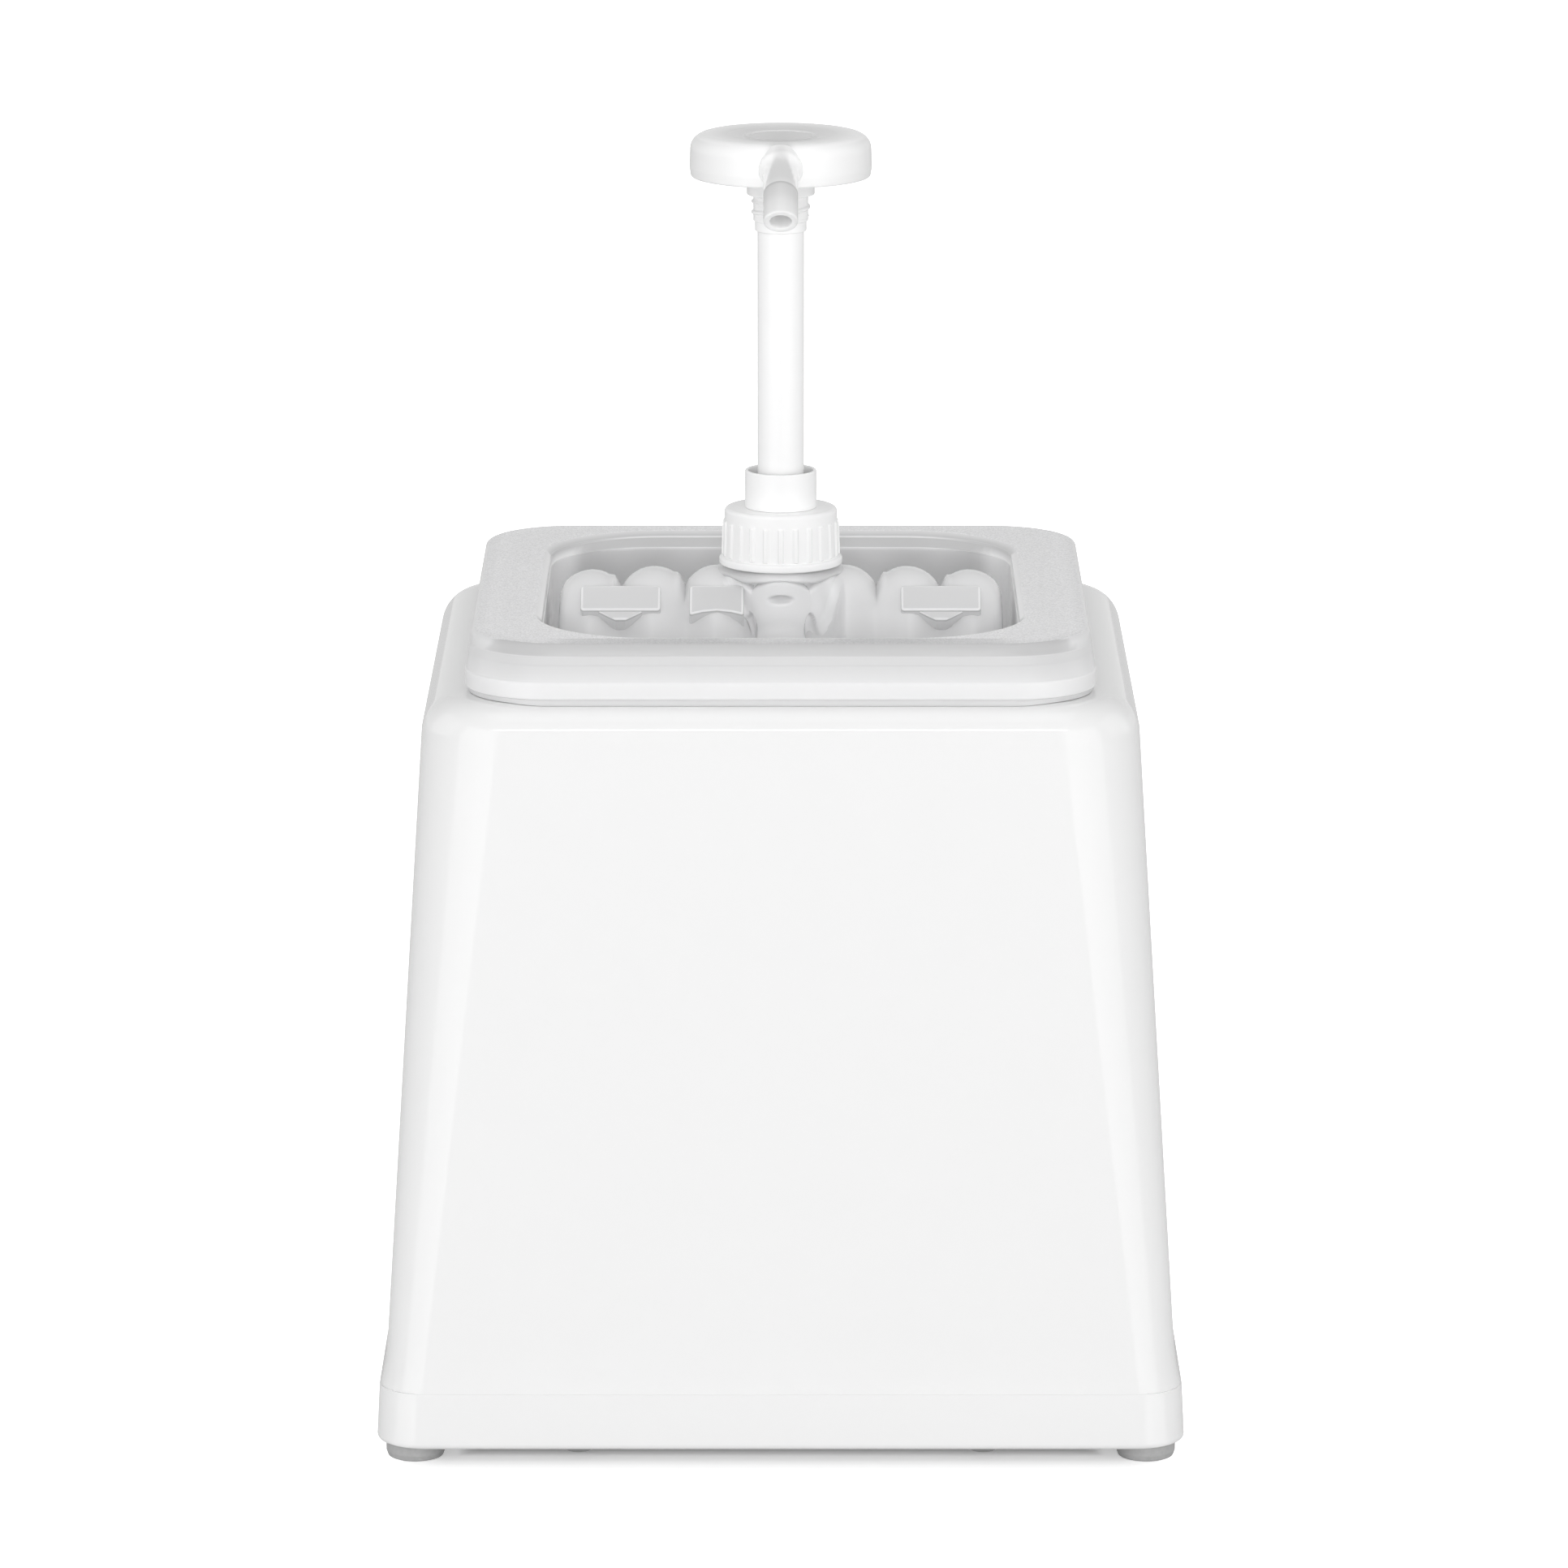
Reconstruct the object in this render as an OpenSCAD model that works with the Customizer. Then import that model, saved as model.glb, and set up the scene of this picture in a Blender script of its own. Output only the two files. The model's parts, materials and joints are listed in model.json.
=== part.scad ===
// Counter-top pump sauce dispenser.
// Front is -Y, +Z is up, the origin is on the table under the middle of the housing.

/* [Housing] */
// Width of the square base flange
housing_w = 220; // [205:1:240]
// Height of the base flange
flange_h = 15.6; // [12:0.2:20]
// Draw-in of the flange towards its top, on each side
flange_draft = 0.9; // [0.4:0.1:1.6]
// Plan radius of the flange's corners
flange_corner_r = 13; // [11:0.5:16]
// Width of the ledge on top of the flange
flange_ledge = 1.4; // [0.8:0.2:3]
// Spread of the wall's foot over the ledge
foot_flare = 1; // [0.4:0.1:1.1]
// Height over which the wall's foot spreads
flare_h = 10.5; // [6:0.5:14]
// Width of the housing at its shoulder
shoulder_w = 194.4; // [188:0.2:202]
// Height of the tapered wall between flange and shoulder
wall_h = 176.3; // [160:0.1:190]
// Plan radius of the wall's corners at the flange
wall_corner_r = 12; // [9:0.5:16]
// Plan radius of the wall's corners at the shoulder
shoulder_corner_r = 24; // [18:0.5:28]
// Radius of the rounded edge round the housing's top
shoulder_r = 10.5; // [8:0.5:13]
// Thickness of the housing's wall
shell_t = 3; // [2:0.1:4]
// Depth of the pocket that seats the top frame
seat_depth = 2.2; // [1:0.1:3]

/* [Base] */
// Thickness of the base plate
plate_t = 3; // [2:0.1:5]
// Gap between the base plate's edge and the flange
plate_gap = 0.3; // [0.1:0.05:0.6]
// Height of the fence that keeps the canister in place
fence_h = 7; // [4:0.5:14]
// Thickness of the fence
fence_t = 2; // [1.5:0.1:3]
// Gap between the canister and the fence
fence_gap = 0.6; // [0.3:0.1:1.5]
// Diameter of the screw bosses inside the housing
boss_d = 9; // [8:0.2:11]
// Height of the screw bosses
boss_h = 14; // [13:0.5:20]
// Distance between the two bosses on one side
boss_spacing = 110; // [80:1:140]
// Diameter of the screws
screw_d = 3.5; // [3:0.1:4]
// Length of the screws below their heads
screw_len = 12; // [10:0.5:13]
// Diameter of the screw heads
screw_head_d = 7; // [6:0.1:8]
// Height of the screw heads
screw_head_h = 2; // [1.5:0.1:2.4]
// Radial clearance of a screw in its hole
screw_gap = 0.1; // [0.05:0.01:0.3]
// Diameter of the rubber feet
foot_d = 16; // [14:0.2:18]
// Height of the rubber feet
foot_h = 4.1; // [4:0.1:8]
// Distance of a foot's centre from the housing's side
foot_inset = 10.6; // [10:0.1:14]
// Depth of the recess for the screw head in a foot
foot_recess = 2.8; // [2.5:0.1:3]

/* [Top frame] */
// Width of the frame over its lip
frame_w = 171; // [165:0.5:172]
// Depth of the frame over its lip, front to back
frame_d = 181.6; // [176:0.2:184]
// Plan radius of the frame's corners
frame_corner_r = 18; // [14:0.5:20]
// Height of the frame from lip to top
frame_h = 14.9; // [13:0.1:17]
// Gap between the frame's lip and the housing's crest
lip_gap = 0.5; // [0.3:0.1:2]
// Height of the lip's upright edge
lip_h = 4; // [3:0.1:5]
// Draw-in of the frame's sides and back above the lip
side_bevel = 1.5; // [1:0.1:4]
// Draw-in of the frame's front above the lip
front_bevel = 8; // [3:0.1:9]
// Wall thickness of the frame
frame_t = 2.5; // [1.8:0.1:3]
// Width of the frame's opening
open_w = 130; // [124:0.5:134]
// Depth of the frame's opening, front to back
open_d = 147; // [140:0.5:152]
// Plan radius of the opening's corners
open_r = 24; // [18:0.5:28]
// Width of the step round the opening
step_w = 1; // [0.5:0.1:1.5]
// Depth of the step below the frame's top
step_h = 4.3; // [3:0.1:6]
// Run of the slope above the step at the opening's back
back_flare = 7.5; // [5:0.1:9]
// Run of the slope above the step at the opening's sides and front
side_flare = 0.7; // [0.3:0.1:1]
// Distance of the frame's standing rim behind its lip
rim_inset = 8; // [6:0.1:9]
// Length of the skirt below the frame's seat
skirt_len = 12; // [6:0.5:20]
// Gap between the frame and the housing's pocket and opening
frame_gap = 0.6; // [0.4:0.05:1]

/* [Canister] */
// Gap between the canister and the frame's opening
canister_gap = 3.5; // [2:0.1:5]
// Wall thickness of the canister
canister_t = 1.5; // [1:0.1:2.2]
// Height of the ridge above the frame's top
ridge_rise = 5.3; // [3:0.1:8]
// Slope of the pitched shoulder, in degrees
roof_slope = 36; // [30:0.5:40]
// Radius of the shoulder's rounded ridge
roof_r = 22; // [20:0.5:28]
// Number of ribs across the shoulder
rib_count = 7; // [5:2:9]
// Distance between two ribs
rib_pitch = 17.7; // [16:0.1:19]
// Depth of the valleys between the ribs
rib_depth = 5.3; // [4:0.1:6]
// Diameter of the lobed tower under the neck
tower_d = 34.7; // [33:0.1:38]
// Number of lobes round the tower
lobe_count = 6; // [5:1:8]
// Radius of one lobe
lobe_r = 9.5; // [8.5:0.1:11]
// How far the ring on the tower overhangs
ring_lip = 1.65; // [0.8:0.05:2.5]
// Thickness of the ring on the tower
ring_t = 2; // [1.6:0.1:3]
// Height of the ring's top above the ridge
tower_rise = 0.7; // [0.5:0.1:3]
// Outer diameter of the neck
neck_d = 26; // [25:0.1:27.5]
// Wall thickness of the neck
neck_t = 2.2; // [1.8:0.1:2.6]
// Height of the neck above the ring
neck_h = 10.3; // [9:0.1:13]
// Length of a raised plate down the slope
pad_len = 9.4; // [7:0.1:11]
// Height of a raised plate above the ribs
pad_rise = 1; // [0.6:0.1:2]
// Width of the two outer plates
outer_pad_w = 21.9; // [16:0.1:24]
// Width of the plate beside the tower
inner_pad_w = 15; // [10:0.1:16]

/* [Cap and collar] */
// Wall thickness of the cap
cap_t = 1.9; // [1.5:0.1:2.5]
// Thickness of the cap's top
cap_roof_t = 2; // [1.5:0.1:3]
// Radial gap between the cap and the neck
cap_gap = 0.6; // [0.4:0.05:0.9]
// Gap between the cap and its neighbours above and below
cap_play = 0.3; // [0.2:0.05:0.5]
// How far the lip round the cap's foot stands out
cap_lip = 1.7; // [1:0.1:2]
// Height of the lip round the cap's foot
cap_lip_h = 2.1; // [1.5:0.1:2.5]
// Number of grip ribs round the cap
grip_count = 24; // [18:1:30]
// Width of one grip rib
grip_w = 1.3; // [1:0.1:2]
// Height of the grip ribs
grip_h = 10.4; // [7:0.1:11]
// Thickness of the gasket on the neck
gasket_t = 1.5; // [1:0.1:2]
// Height of the collar's cup
cup_h = 10.2; // [9:0.1:14]
// Depth of the collar's cup
cup_depth = 8.5; // [6:0.1:8.6]
// Wall thickness of the collar's cup
cup_t = 1.05; // [0.9:0.05:1.2]
// How far the cup overhangs the collar's stalk
cup_step = 1.35; // [1.2:0.05:2]
// How far the collar's stalk reaches into the barrel
collar_insert = 12; // [8:0.5:16]
// Width of the ring that wipes the stem
wiper_w = 1.4; // [1:0.1:1.6]
// Thickness of the ring that wipes the stem
wiper_t = 1.6; // [1.2:0.1:2]

/* [Pump] */
// Travel of the pump
stroke = 65; // [50:1:70]
// Gap between head plug and collar at the end of the stroke
stroke_gap = 1.9; // [0.8:0.1:3]
// Radial gap between the barrel and the neck
barrel_gap = 0.8; // [0.5:0.05:1]
// Wall thickness of the barrel
barrel_t = 1.5; // [1.2:0.1:1.8]
// Thickness of the barrel's flange
barrel_flange_t = 2; // [1.5:0.1:3]
// Radial clearance where two pump pieces are pushed together
push_gap = 0.05; // [0.02:0.01:0.1]
// Radial clearance where pump pieces slide or turn
run_gap = 0.08; // [0.04:0.01:0.1]
// Radial gap between the piston and the barrel
piston_gap = 0.4; // [0.3:0.05:0.6]
// Length of the piston
piston_len = 15; // [12:0.5:20]
// Length of the piston's spigot inside the stem
spigot_len = 10; // [8:0.5:14]
// Diameter of the channel through the piston
piston_bore = 5; // [4:0.1:6]
// Depth of the piston's groove for the seal
seal_depth = 1.6; // [1.2:0.1:2]
// Height of the seal
seal_h = 5; // [4:0.1:7]
// Wire diameter of the return spring
wire_d = 1.4; // [1:0.1:1.6]
// Gap between the return spring and the barrel
spring_gap = 0.8; // [0.6:0.1:1]
// Number of turns of the return spring
spring_turns = 11; // [8:1:12]
// Length left for the spring at the end of the stroke
spring_left = 22; // [21:0.5:30]
// Length of the pegs that centre the spring
peg_len = 4; // [3:0.1:6]
// Height of the cage round the inlet ball
cage_h = 12.4; // [12:0.1:16]
// Diameter of the inlet ball
inlet_ball_d = 8; // [7:0.1:8.4]
// Diameter of the outlet ball
outlet_ball_d = 7.2; // [6.6:0.1:7.8]
// Lift of the valve balls
ball_lift = 2.5; // [1.5:0.1:2.8]
// Gap between a ball and its neighbours
ball_gap = 0.3; // [0.2:0.05:0.4]
// Diameter of the holes under the balls
valve_bore = 5; // [4:0.1:5.4]
// Diameter of the dip tube
dip_d = 8; // [7:0.1:9]
// Wall thickness of the dip tube
dip_t = 1; // [0.8:0.1:1.4]
// Length of the socket that holds the dip tube
dip_socket = 14; // [8:0.5:20]
// Gap between the dip tube and the canister's floor
dip_clear = 7; // [4:0.5:15]

/* [Stem and head] */
// Diameter of the stem
stem_d = 12.9; // [12.4:0.1:13.4]
// Wall thickness of the stem
stem_t = 1.6; // [1.3:0.1:1.8]
// Diameter of the stem's upper channel
stem_bore = 6.5; // [5.5:0.1:7]
// Length of the plug under the head
plug_len = 15.2; // [14:0.1:18]
// Height of the shoulder above the plug's thread
plug_shoulder_h = 5.1; // [4:0.1:7]
// How far that shoulder stands out
plug_shoulder = 1.8; // [1:0.1:2.4]
// Height of the plain end below the plug's thread
plug_end_h = 2.8; // [2:0.1:4]
// Radial gap between the plug's thread and the collar's cup
plug_gap = 1.15; // [0.9:0.05:1.3]
// Height of the thread on the plug
plug_thread = 0.5; // [0.3:0.05:0.7]
// Diameter of the head
head_d = 50.3; // [44:0.1:58]
// Height of the head
head_h = 11.9; // [11.5:0.1:14]
// Radius of the head's upper edge
head_edge_r = 3.6; // [2:0.1:4.5]
// Wall thickness of the head
head_t = 1.8; // [1.4:0.1:2.4]
// Depth of the dish in the head's top
dish_depth = 0.8; // [0.5:0.1:1]
// Diameter of the ring in the middle of the dish
dish_ring_d = 15; // [8:0.1:16]
// Height of that ring
dish_ring_h = 0.5; // [0.3:0.1:0.8]
// Outer diameter of the spout
spout_d = 9.4; // [8.6:0.1:9.6]
// Channel of the spout
spout_bore = 6; // [5:0.1:6.6]
// Fall of the spout's first stretch, in degrees
spout_fall = 18; // [16:1:24]
// Fall of the spout's tip, in degrees
tip_fall = 45; // [40:1:48]
// Length of the spout's first stretch
spout_len = 19; // [14:0.1:40]
// Length of the spout's tip
tip_len = 9; // [7:0.1:14]
// How far the rounded knuckles at the spout's bends stand out
spout_knuckle = 0.25; // [0.2:0.05:0.4]
// Distance of the spout's first bend behind the head's edge
spout_root = 4.2; // [3.6:0.1:5]
// Height of the spout's duct above the head's lower edge
spout_rise = 1.5; // [1:0.1:1.6]

/* [Hidden] */
$fn = 64;
// Overlap that lets one shape run into the next, and lets a cut run past a face
over = 1;

// Heights of the housing, counted from the table
z_floor = foot_h + plate_t;
z_wall = foot_h + flange_h;
z_shoulder = z_wall + wall_h;
z_crest = z_shoulder + shoulder_r;
z_seat = z_crest - seat_depth;

// Outlines of the housing
wall_half = housing_w / 2 - flange_draft - flange_ledge;
cavity_w = 2 * (wall_half - shell_t);
recess_w = housing_w - 2 * flange_draft - 2 * shell_t;
recess_r = flange_corner_r - shell_t;
boss_reach = cavity_w / 2 - boss_d / 2 + over;
foot_reach = housing_w / 2 - foot_inset;

// Heights and outlines of the top frame
z_lip = z_crest + lip_gap;
z_frame = z_lip + frame_h;
z_step = z_frame - step_h;
rim_w = frame_w - 2 * rim_inset;
rim_d = frame_d - 2 * rim_inset;
rim_r = frame_corner_r - rim_inset / 2;
skirt_w = open_w + 2 * frame_t;
skirt_d = open_d + 2 * frame_t;
skirt_r = open_r + frame_t;

// Canister: outline, pitched shoulder, tower and neck
canister_w = open_w - 2 * canister_gap;
canister_d = open_d - 2 * canister_gap;
canister_r = open_r - canister_gap;
z_ridge = z_frame + ridge_rise;
rib_r = (rib_pitch * rib_pitch / 4 + rib_depth * rib_depth) / (2 * rib_depth);
roof_reach = canister_d;
z_ring = z_ridge + tower_rise;
z_neck = z_ring + neck_h;
neck_bore = neck_d - 2 * neck_t;
lobe_reach = tower_d / 2 - lobe_r;
tower_core_r = lobe_reach * cos(180 / lobe_count)
             + sqrt(lobe_r * lobe_r - pow(lobe_reach * sin(180 / lobe_count), 2));
tower_bore_r = tower_core_r - canister_t;
pad_places = [[-2.5 * rib_pitch, outer_pad_w], [-rib_pitch, inner_pad_w], [2.5 * rib_pitch, outer_pad_w]];

// Cap, gasket and collar
z_flange = z_neck + gasket_t;
z_barrel = z_flange + barrel_flange_t;
z_cap = z_barrel + cap_play + cap_roof_t;
z_cap_foot = z_ring + cap_play;
cap_bore_r = neck_d / 2 + cap_gap;
cap_r = cap_bore_r + cap_t;
barrel_r = neck_bore / 2 - barrel_gap;
bore_r = barrel_r - barrel_t;
stalk_r = bore_r - push_gap;
cup_r = stalk_r + cup_step;
z_cup = z_cap + cap_play;
z_cup_top = z_cup + cup_h;
z_cup_floor = z_cup_top - cup_depth;
z_stop = z_flange - collar_insert;
guide_r = stem_d / 2 + run_gap;

// Piston, spring and inlet valve, downwards from the collar
z_piston = z_stop - ball_gap;
z_piston_foot = z_piston - piston_len;
z_cage = z_piston_foot - stroke - spring_left;
z_bottom = z_cage - cage_h;
piston_r = bore_r - piston_gap;
seal_r = bore_r - run_gap;
groove_r = piston_r - seal_depth;
z_groove = z_piston_foot + (piston_len - seal_h) / 2;
spring_rings = 8;
spring_sides = 6;
coil_r = bore_r - spring_gap - wire_d / 2;
peg_r = coil_r * cos(180 / spring_rings) - wire_d / 2 - ball_gap;
chamber_r = stem_d / 2 - stem_t;
spigot_r = chamber_r - run_gap;
valve_r = valve_bore / 2;
inlet_r = inlet_ball_d / 2;
outlet_r = outlet_ball_d / 2;
seat_flare = inlet_r + ball_gap - valve_r;
outlet_flare = spigot_r - over / 2 - piston_bore / 2;
z_valve = z_bottom - seat_flare;
z_inlet = z_valve - valve_r + inlet_r * sqrt(2) + ball_gap;
z_spigot = z_piston + spigot_len;
z_outlet = z_spigot - outlet_flare - piston_bore / 2 + outlet_r * sqrt(2) + ball_gap;
z_chamber = z_outlet + outlet_r + ball_lift + ball_gap;
socket_t = barrel_t;
z_socket = z_valve - over;
z_dip = z_floor + canister_t + dip_clear;
pocket_r = inlet_r + 2 * ball_gap;
z_pocket = z_inlet + inlet_r + ball_lift + ball_gap;

// Head and spout
z_plug = z_cup_top + stroke + stroke_gap;
z_head = z_plug + plug_len;
z_top = z_head + head_h;
plug_r = cup_r - cup_t - plug_gap;
plug_end_r = plug_r - plug_thread;
z_stem = z_head - head_t;
z_duct = z_head + spout_rise + spout_d / 2;
spout_start = head_d / 2 - spout_root;
dish_r = head_d / 2 - head_edge_r - over;
dish_sphere = (dish_r * dish_r + dish_depth * dish_depth) / (2 * dish_depth);

// Flat rectangle with rounded corners
module round_rect(w, d, r) {
    square([w - 2 * r, d], center = true);
    square([w, d - 2 * r], center = true);
    for (sx = [-1, 1], sy = [-1, 1])
        translate([sx * (w / 2 - r), sy * (d / 2 - r)])
            circle(r);
}

// Upright block with rounded corners
module round_block(w, d, r, z, h) {
    translate([0, 0, z])
        linear_extrude(h)
            round_rect(w, d, r);
}

// Upright cylinder between two heights
module post(r, z, h) {
    translate([0, 0, z])
        cylinder(r = r, h = h);
}

// Upright ring between two heights
module ring(outer_r, inner_r, z, h) {
    difference() {
        post(outer_r, z, h);
        post(inner_r, z - over, h + 2 * over);
    }
}

// Places of the screws along the four sides
module at_bosses() {
    for (turn = [0 : 90 : 270], side = [-1, 1])
        rotate([0, 0, turn])
            translate([boss_reach, side * boss_spacing / 2, 0])
                children();
}

// Places of the four feet
module at_feet() {
    for (sx = [-1, 1], sy = [-1, 1])
        translate([sx * foot_reach, sy * foot_reach, 0])
            children();
}

// One screw, head down, with its head's seat at height z
module screw(z) {
    post(screw_d / 2, z - screw_head_h / 2, screw_len + screw_head_h / 2);
    post(screw_head_d / 2, z - screw_head_h, screw_head_h);
}

// Tapered block with a rounded top edge, drawn in on every side and lowered at its top
module tapered_block(inset, drop) {
    hull()
        for (sx = [-1, 1], sy = [-1, 1]) {
            translate([sx * (wall_half - wall_corner_r), sy * (wall_half - wall_corner_r), z_wall - over])
                cylinder(r = wall_corner_r - inset, h = over, $fn = 48);
            translate([sx * (shoulder_w / 2 - shoulder_corner_r), sy * (shoulder_w / 2 - shoulder_corner_r),
                       z_shoulder - drop])
                rotate_extrude($fn = 48)
                    translate([shoulder_corner_r - shoulder_r, 0])
                        circle(shoulder_r - inset, $fn = 32);
        }
}

// Foot of the tapered wall, spread out towards the flange
module wall_foot() {
    share = flare_h / wall_h;
    low = wall_half - wall_corner_r;
    high = low + share * (shoulder_w / 2 - shoulder_corner_r - low);
    high_r = wall_corner_r + share * (shoulder_corner_r - wall_corner_r);
    hull()
        for (sx = [-1, 1], sy = [-1, 1]) {
            translate([sx * low, sy * low, z_wall - over])
                cylinder(r = wall_corner_r + foot_flare, h = over, $fn = 48);
            translate([sx * high, sy * high, z_wall])
                cylinder(r = high_r - shell_t / 30, h = flare_h, $fn = 48);
        }
}

// Base flange with drafted sides
module flange_block() {
    hull()
        for (sx = [-1, 1], sy = [-1, 1])
            translate([sx * (housing_w / 2 - flange_corner_r), sy * (housing_w / 2 - flange_corner_r), foot_h])
                cylinder(r1 = flange_corner_r, r2 = flange_corner_r - flange_draft, h = flange_h, $fn = 48);
}

// White moulded housing: flange, tapered wall, rounded shoulder, pocket and opening for the frame
module housing_shell() {
    color("white") {
        difference() {
            union() {
                flange_block();
                wall_foot();
                tapered_block(0, 0);
            }
            tapered_block(shell_t, seat_depth);
            round_block(cavity_w, cavity_w, wall_corner_r - shell_t, foot_h - over, flange_h + over);
            round_block(recess_w, recess_w, recess_r, foot_h - over, z_floor - foot_h + over);
            round_block(rim_w + 2 * frame_gap, rim_d + 2 * frame_gap, rim_r + frame_gap,
                        z_seat, seat_depth + over);
            round_block(skirt_w + 2 * frame_gap, skirt_d + 2 * frame_gap, skirt_r + frame_gap,
                        z_shoulder - shoulder_r, 3 * shoulder_r);
        }
        at_bosses()
            ring(boss_d / 2, screw_d / 2 + screw_gap, z_floor, boss_h);
    }
}

// Floor of the housing, with the canister's fence and a boss over each foot
module base_plate() {
    plate_w = recess_w - 2 * plate_gap;
    fence_in_w = canister_w + 2 * fence_gap;
    fence_in_d = canister_d + 2 * fence_gap;
    color("whitesmoke")
        difference() {
            union() {
                round_block(plate_w, plate_w, recess_r - plate_gap, foot_h, plate_t);
                round_block(fence_in_w + 2 * fence_t, fence_in_d + 2 * fence_t, canister_r + fence_gap + fence_t,
                            foot_h, plate_t + fence_h);
                intersection() {
                    at_feet()
                        post(boss_d / 2, foot_h, screw_len);
                    round_block(cavity_w - 2 * plate_gap, cavity_w - 2 * plate_gap,
                                wall_corner_r - shell_t - plate_gap, foot_h, screw_len);
                }
            }
            round_block(fence_in_w, fence_in_d, canister_r + fence_gap, z_floor, fence_h + over);
            at_bosses()
                post(screw_d / 2 + screw_gap, foot_h - over, plate_t + 2 * over);
            at_feet()
                post(screw_d / 2 + screw_gap, foot_h - over, screw_len + 2 * over);
        }
}

// Screws that hold the base plate
module base_screws() {
    color("silver")
        at_bosses()
            screw(foot_h);
}

// Round rubber feet, recessed for their screws
module rubber_feet() {
    color("dimgray")
        at_feet()
            difference() {
                post(foot_d / 2, 0, foot_h);
                post(screw_d / 2 + screw_gap, -over, foot_h + 2 * over);
                post(screw_head_d / 2 + screw_gap, -over, foot_recess + over);
            }
}

// One screw through each foot
module foot_screws() {
    color("silver")
        at_feet()
            screw(foot_recess);
}

// Block of the frame: upright lip, then sides drawn in towards the top
module frame_block(inset, z_low, z_high) {
    low_w = frame_w / 2 - frame_corner_r;
    low_d = frame_d / 2 - frame_corner_r;
    hull()
        for (sx = [-1, 1], sy = [-1, 1]) {
            bevel = sy < 0 ? front_bevel : side_bevel;
            translate([sx * low_w, sy * low_d, z_low])
                cylinder(r = frame_corner_r - inset, h = z_lip + lip_h - z_low, $fn = 48);
            translate([sx * low_w, sy * (low_d - bevel + side_bevel), z_high - over])
                cylinder(r = frame_corner_r - side_bevel - inset, h = over, $fn = 48);
        }
}

// Sloped mouth of the frame above its step, wider by t on every side, its back drawn out further
module mouth_block(t, z_low) {
    hull() {
        round_block(open_w + 2 * step_w + 2 * t, open_d + 2 * step_w + 2 * t, open_r + step_w + t, z_low, over / 10);
        translate([0, back_flare / 2 - side_flare / 2, 0])
            round_block(open_w + 2 * step_w + 2 * side_flare + 2 * t,
                        open_d + 2 * step_w + side_flare + back_flare + 2 * t,
                        open_r + step_w + side_flare + t, z_frame, over / 10);
    }
}

// Translucent frame: hollow under its top, standing on a rim, with a skirt down into the housing
module top_frame() {
    color("lightgray")
        difference() {
            union() {
                difference() {
                    frame_block(0, z_lip, z_frame);
                    frame_block(frame_t, z_lip - over, z_frame - frame_t);
                }
                round_block(rim_w, rim_d, rim_r, z_seat, z_frame - z_seat - over);
            }
            difference() {
                round_block(rim_w - 2 * frame_t, rim_d - 2 * frame_t, rim_r - frame_t,
                            z_seat - over, z_frame - z_seat - frame_t + over);
                round_block(skirt_w, skirt_d, skirt_r, z_seat - 2 * over, z_frame - z_seat);
                mouth_block(frame_t, z_step - frame_t);
            }
            round_block(open_w, open_d, open_r, z_seat - over, z_frame - z_seat + 2 * over);
            mouth_block(0, z_step);
        }
    color("lightgray")
        difference() {
            round_block(skirt_w, skirt_d, skirt_r, z_seat - skirt_len, skirt_len + over);
            round_block(open_w, open_d, open_r, z_seat - skirt_len - over, skirt_len + 3 * over);
        }
}

// Section across the ribs: X is the height above the ridge's axis, Y runs across the canister
module rib_section(inset, depth) {
    rib_span = rib_count * rib_pitch + canister_w;
    translate([-depth, -rib_span / 2])
        square([depth + roof_r - rib_depth - inset, rib_span]);
    for (i = [0 : rib_count - 1])
        translate([roof_r - rib_r, (i - (rib_count - 1) / 2) * rib_pitch])
            circle(rib_r - inset);
}

// Turns a shape drawn along the ridge's axis to its angle from the upright
module about_ridge(angle) {
    translate([0, 0, z_ridge - roof_r])
        rotate([0, 90, 0])
            rotate([0, 0, 180 + angle])
                children();
}

// One straight side of the ribbed shoulder, filled far below it
module roof_side(inset) {
    about_ridge(roof_slope)
        translate([0, roof_reach, 0])
            rotate([90, 0, 0])
                linear_extrude(roof_reach)
                    rib_section(inset, 2 * z_ridge);
}

// Everything under the pitched, ribbed shoulder
module under_roof(inset) {
    about_ridge(-roof_slope)
        rotate_extrude(angle = 2 * roof_slope)
            intersection() {
                rib_section(inset, 0);
                translate([0, -canister_w])
                    square([2 * roof_r, 2 * canister_w]);
            }
    roof_side(inset);
    mirror([0, 1, 0])
        roof_side(inset);
}

// Raised bare plates on the front slope
module pads() {
    for (place = pad_places)
        about_ridge(roof_slope)
            translate([roof_r - rib_depth, 0, place[0] - place[1] / 2])
                cube([rib_depth + pad_rise, pad_len, place[1]]);
}

// Translucent canister: ribbed pitched shoulder, lobed tower, ring and neck
module sauce_canister() {
    color("gainsboro")
        difference() {
            union() {
                intersection() {
                    round_block(canister_w, canister_d, canister_r, z_floor, z_ridge);
                    under_roof(0);
                }
                pads();
                for (i = [0 : lobe_count - 1])
                    rotate([0, 0, 90 + i * 360 / lobe_count])
                        translate([lobe_reach, 0, 0])
                            post(lobe_r, z_ridge - roof_r, roof_r + tower_rise - ring_t / 2);
                post(tower_d / 2 + ring_lip, z_ring - ring_t, ring_t);
                post(neck_d / 2, z_ring - over, neck_h + over);
            }
            intersection() {
                round_block(canister_w - 2 * canister_t, canister_d - 2 * canister_t, canister_r - canister_t,
                            z_floor + canister_t, z_ridge);
                under_roof(canister_t);
            }
            post(tower_bore_r, z_ridge - roof_r, roof_r + tower_rise - ring_t);
            post(neck_bore / 2, z_ridge - roof_r, roof_r + tower_rise + neck_h + over);
        }
}

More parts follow.
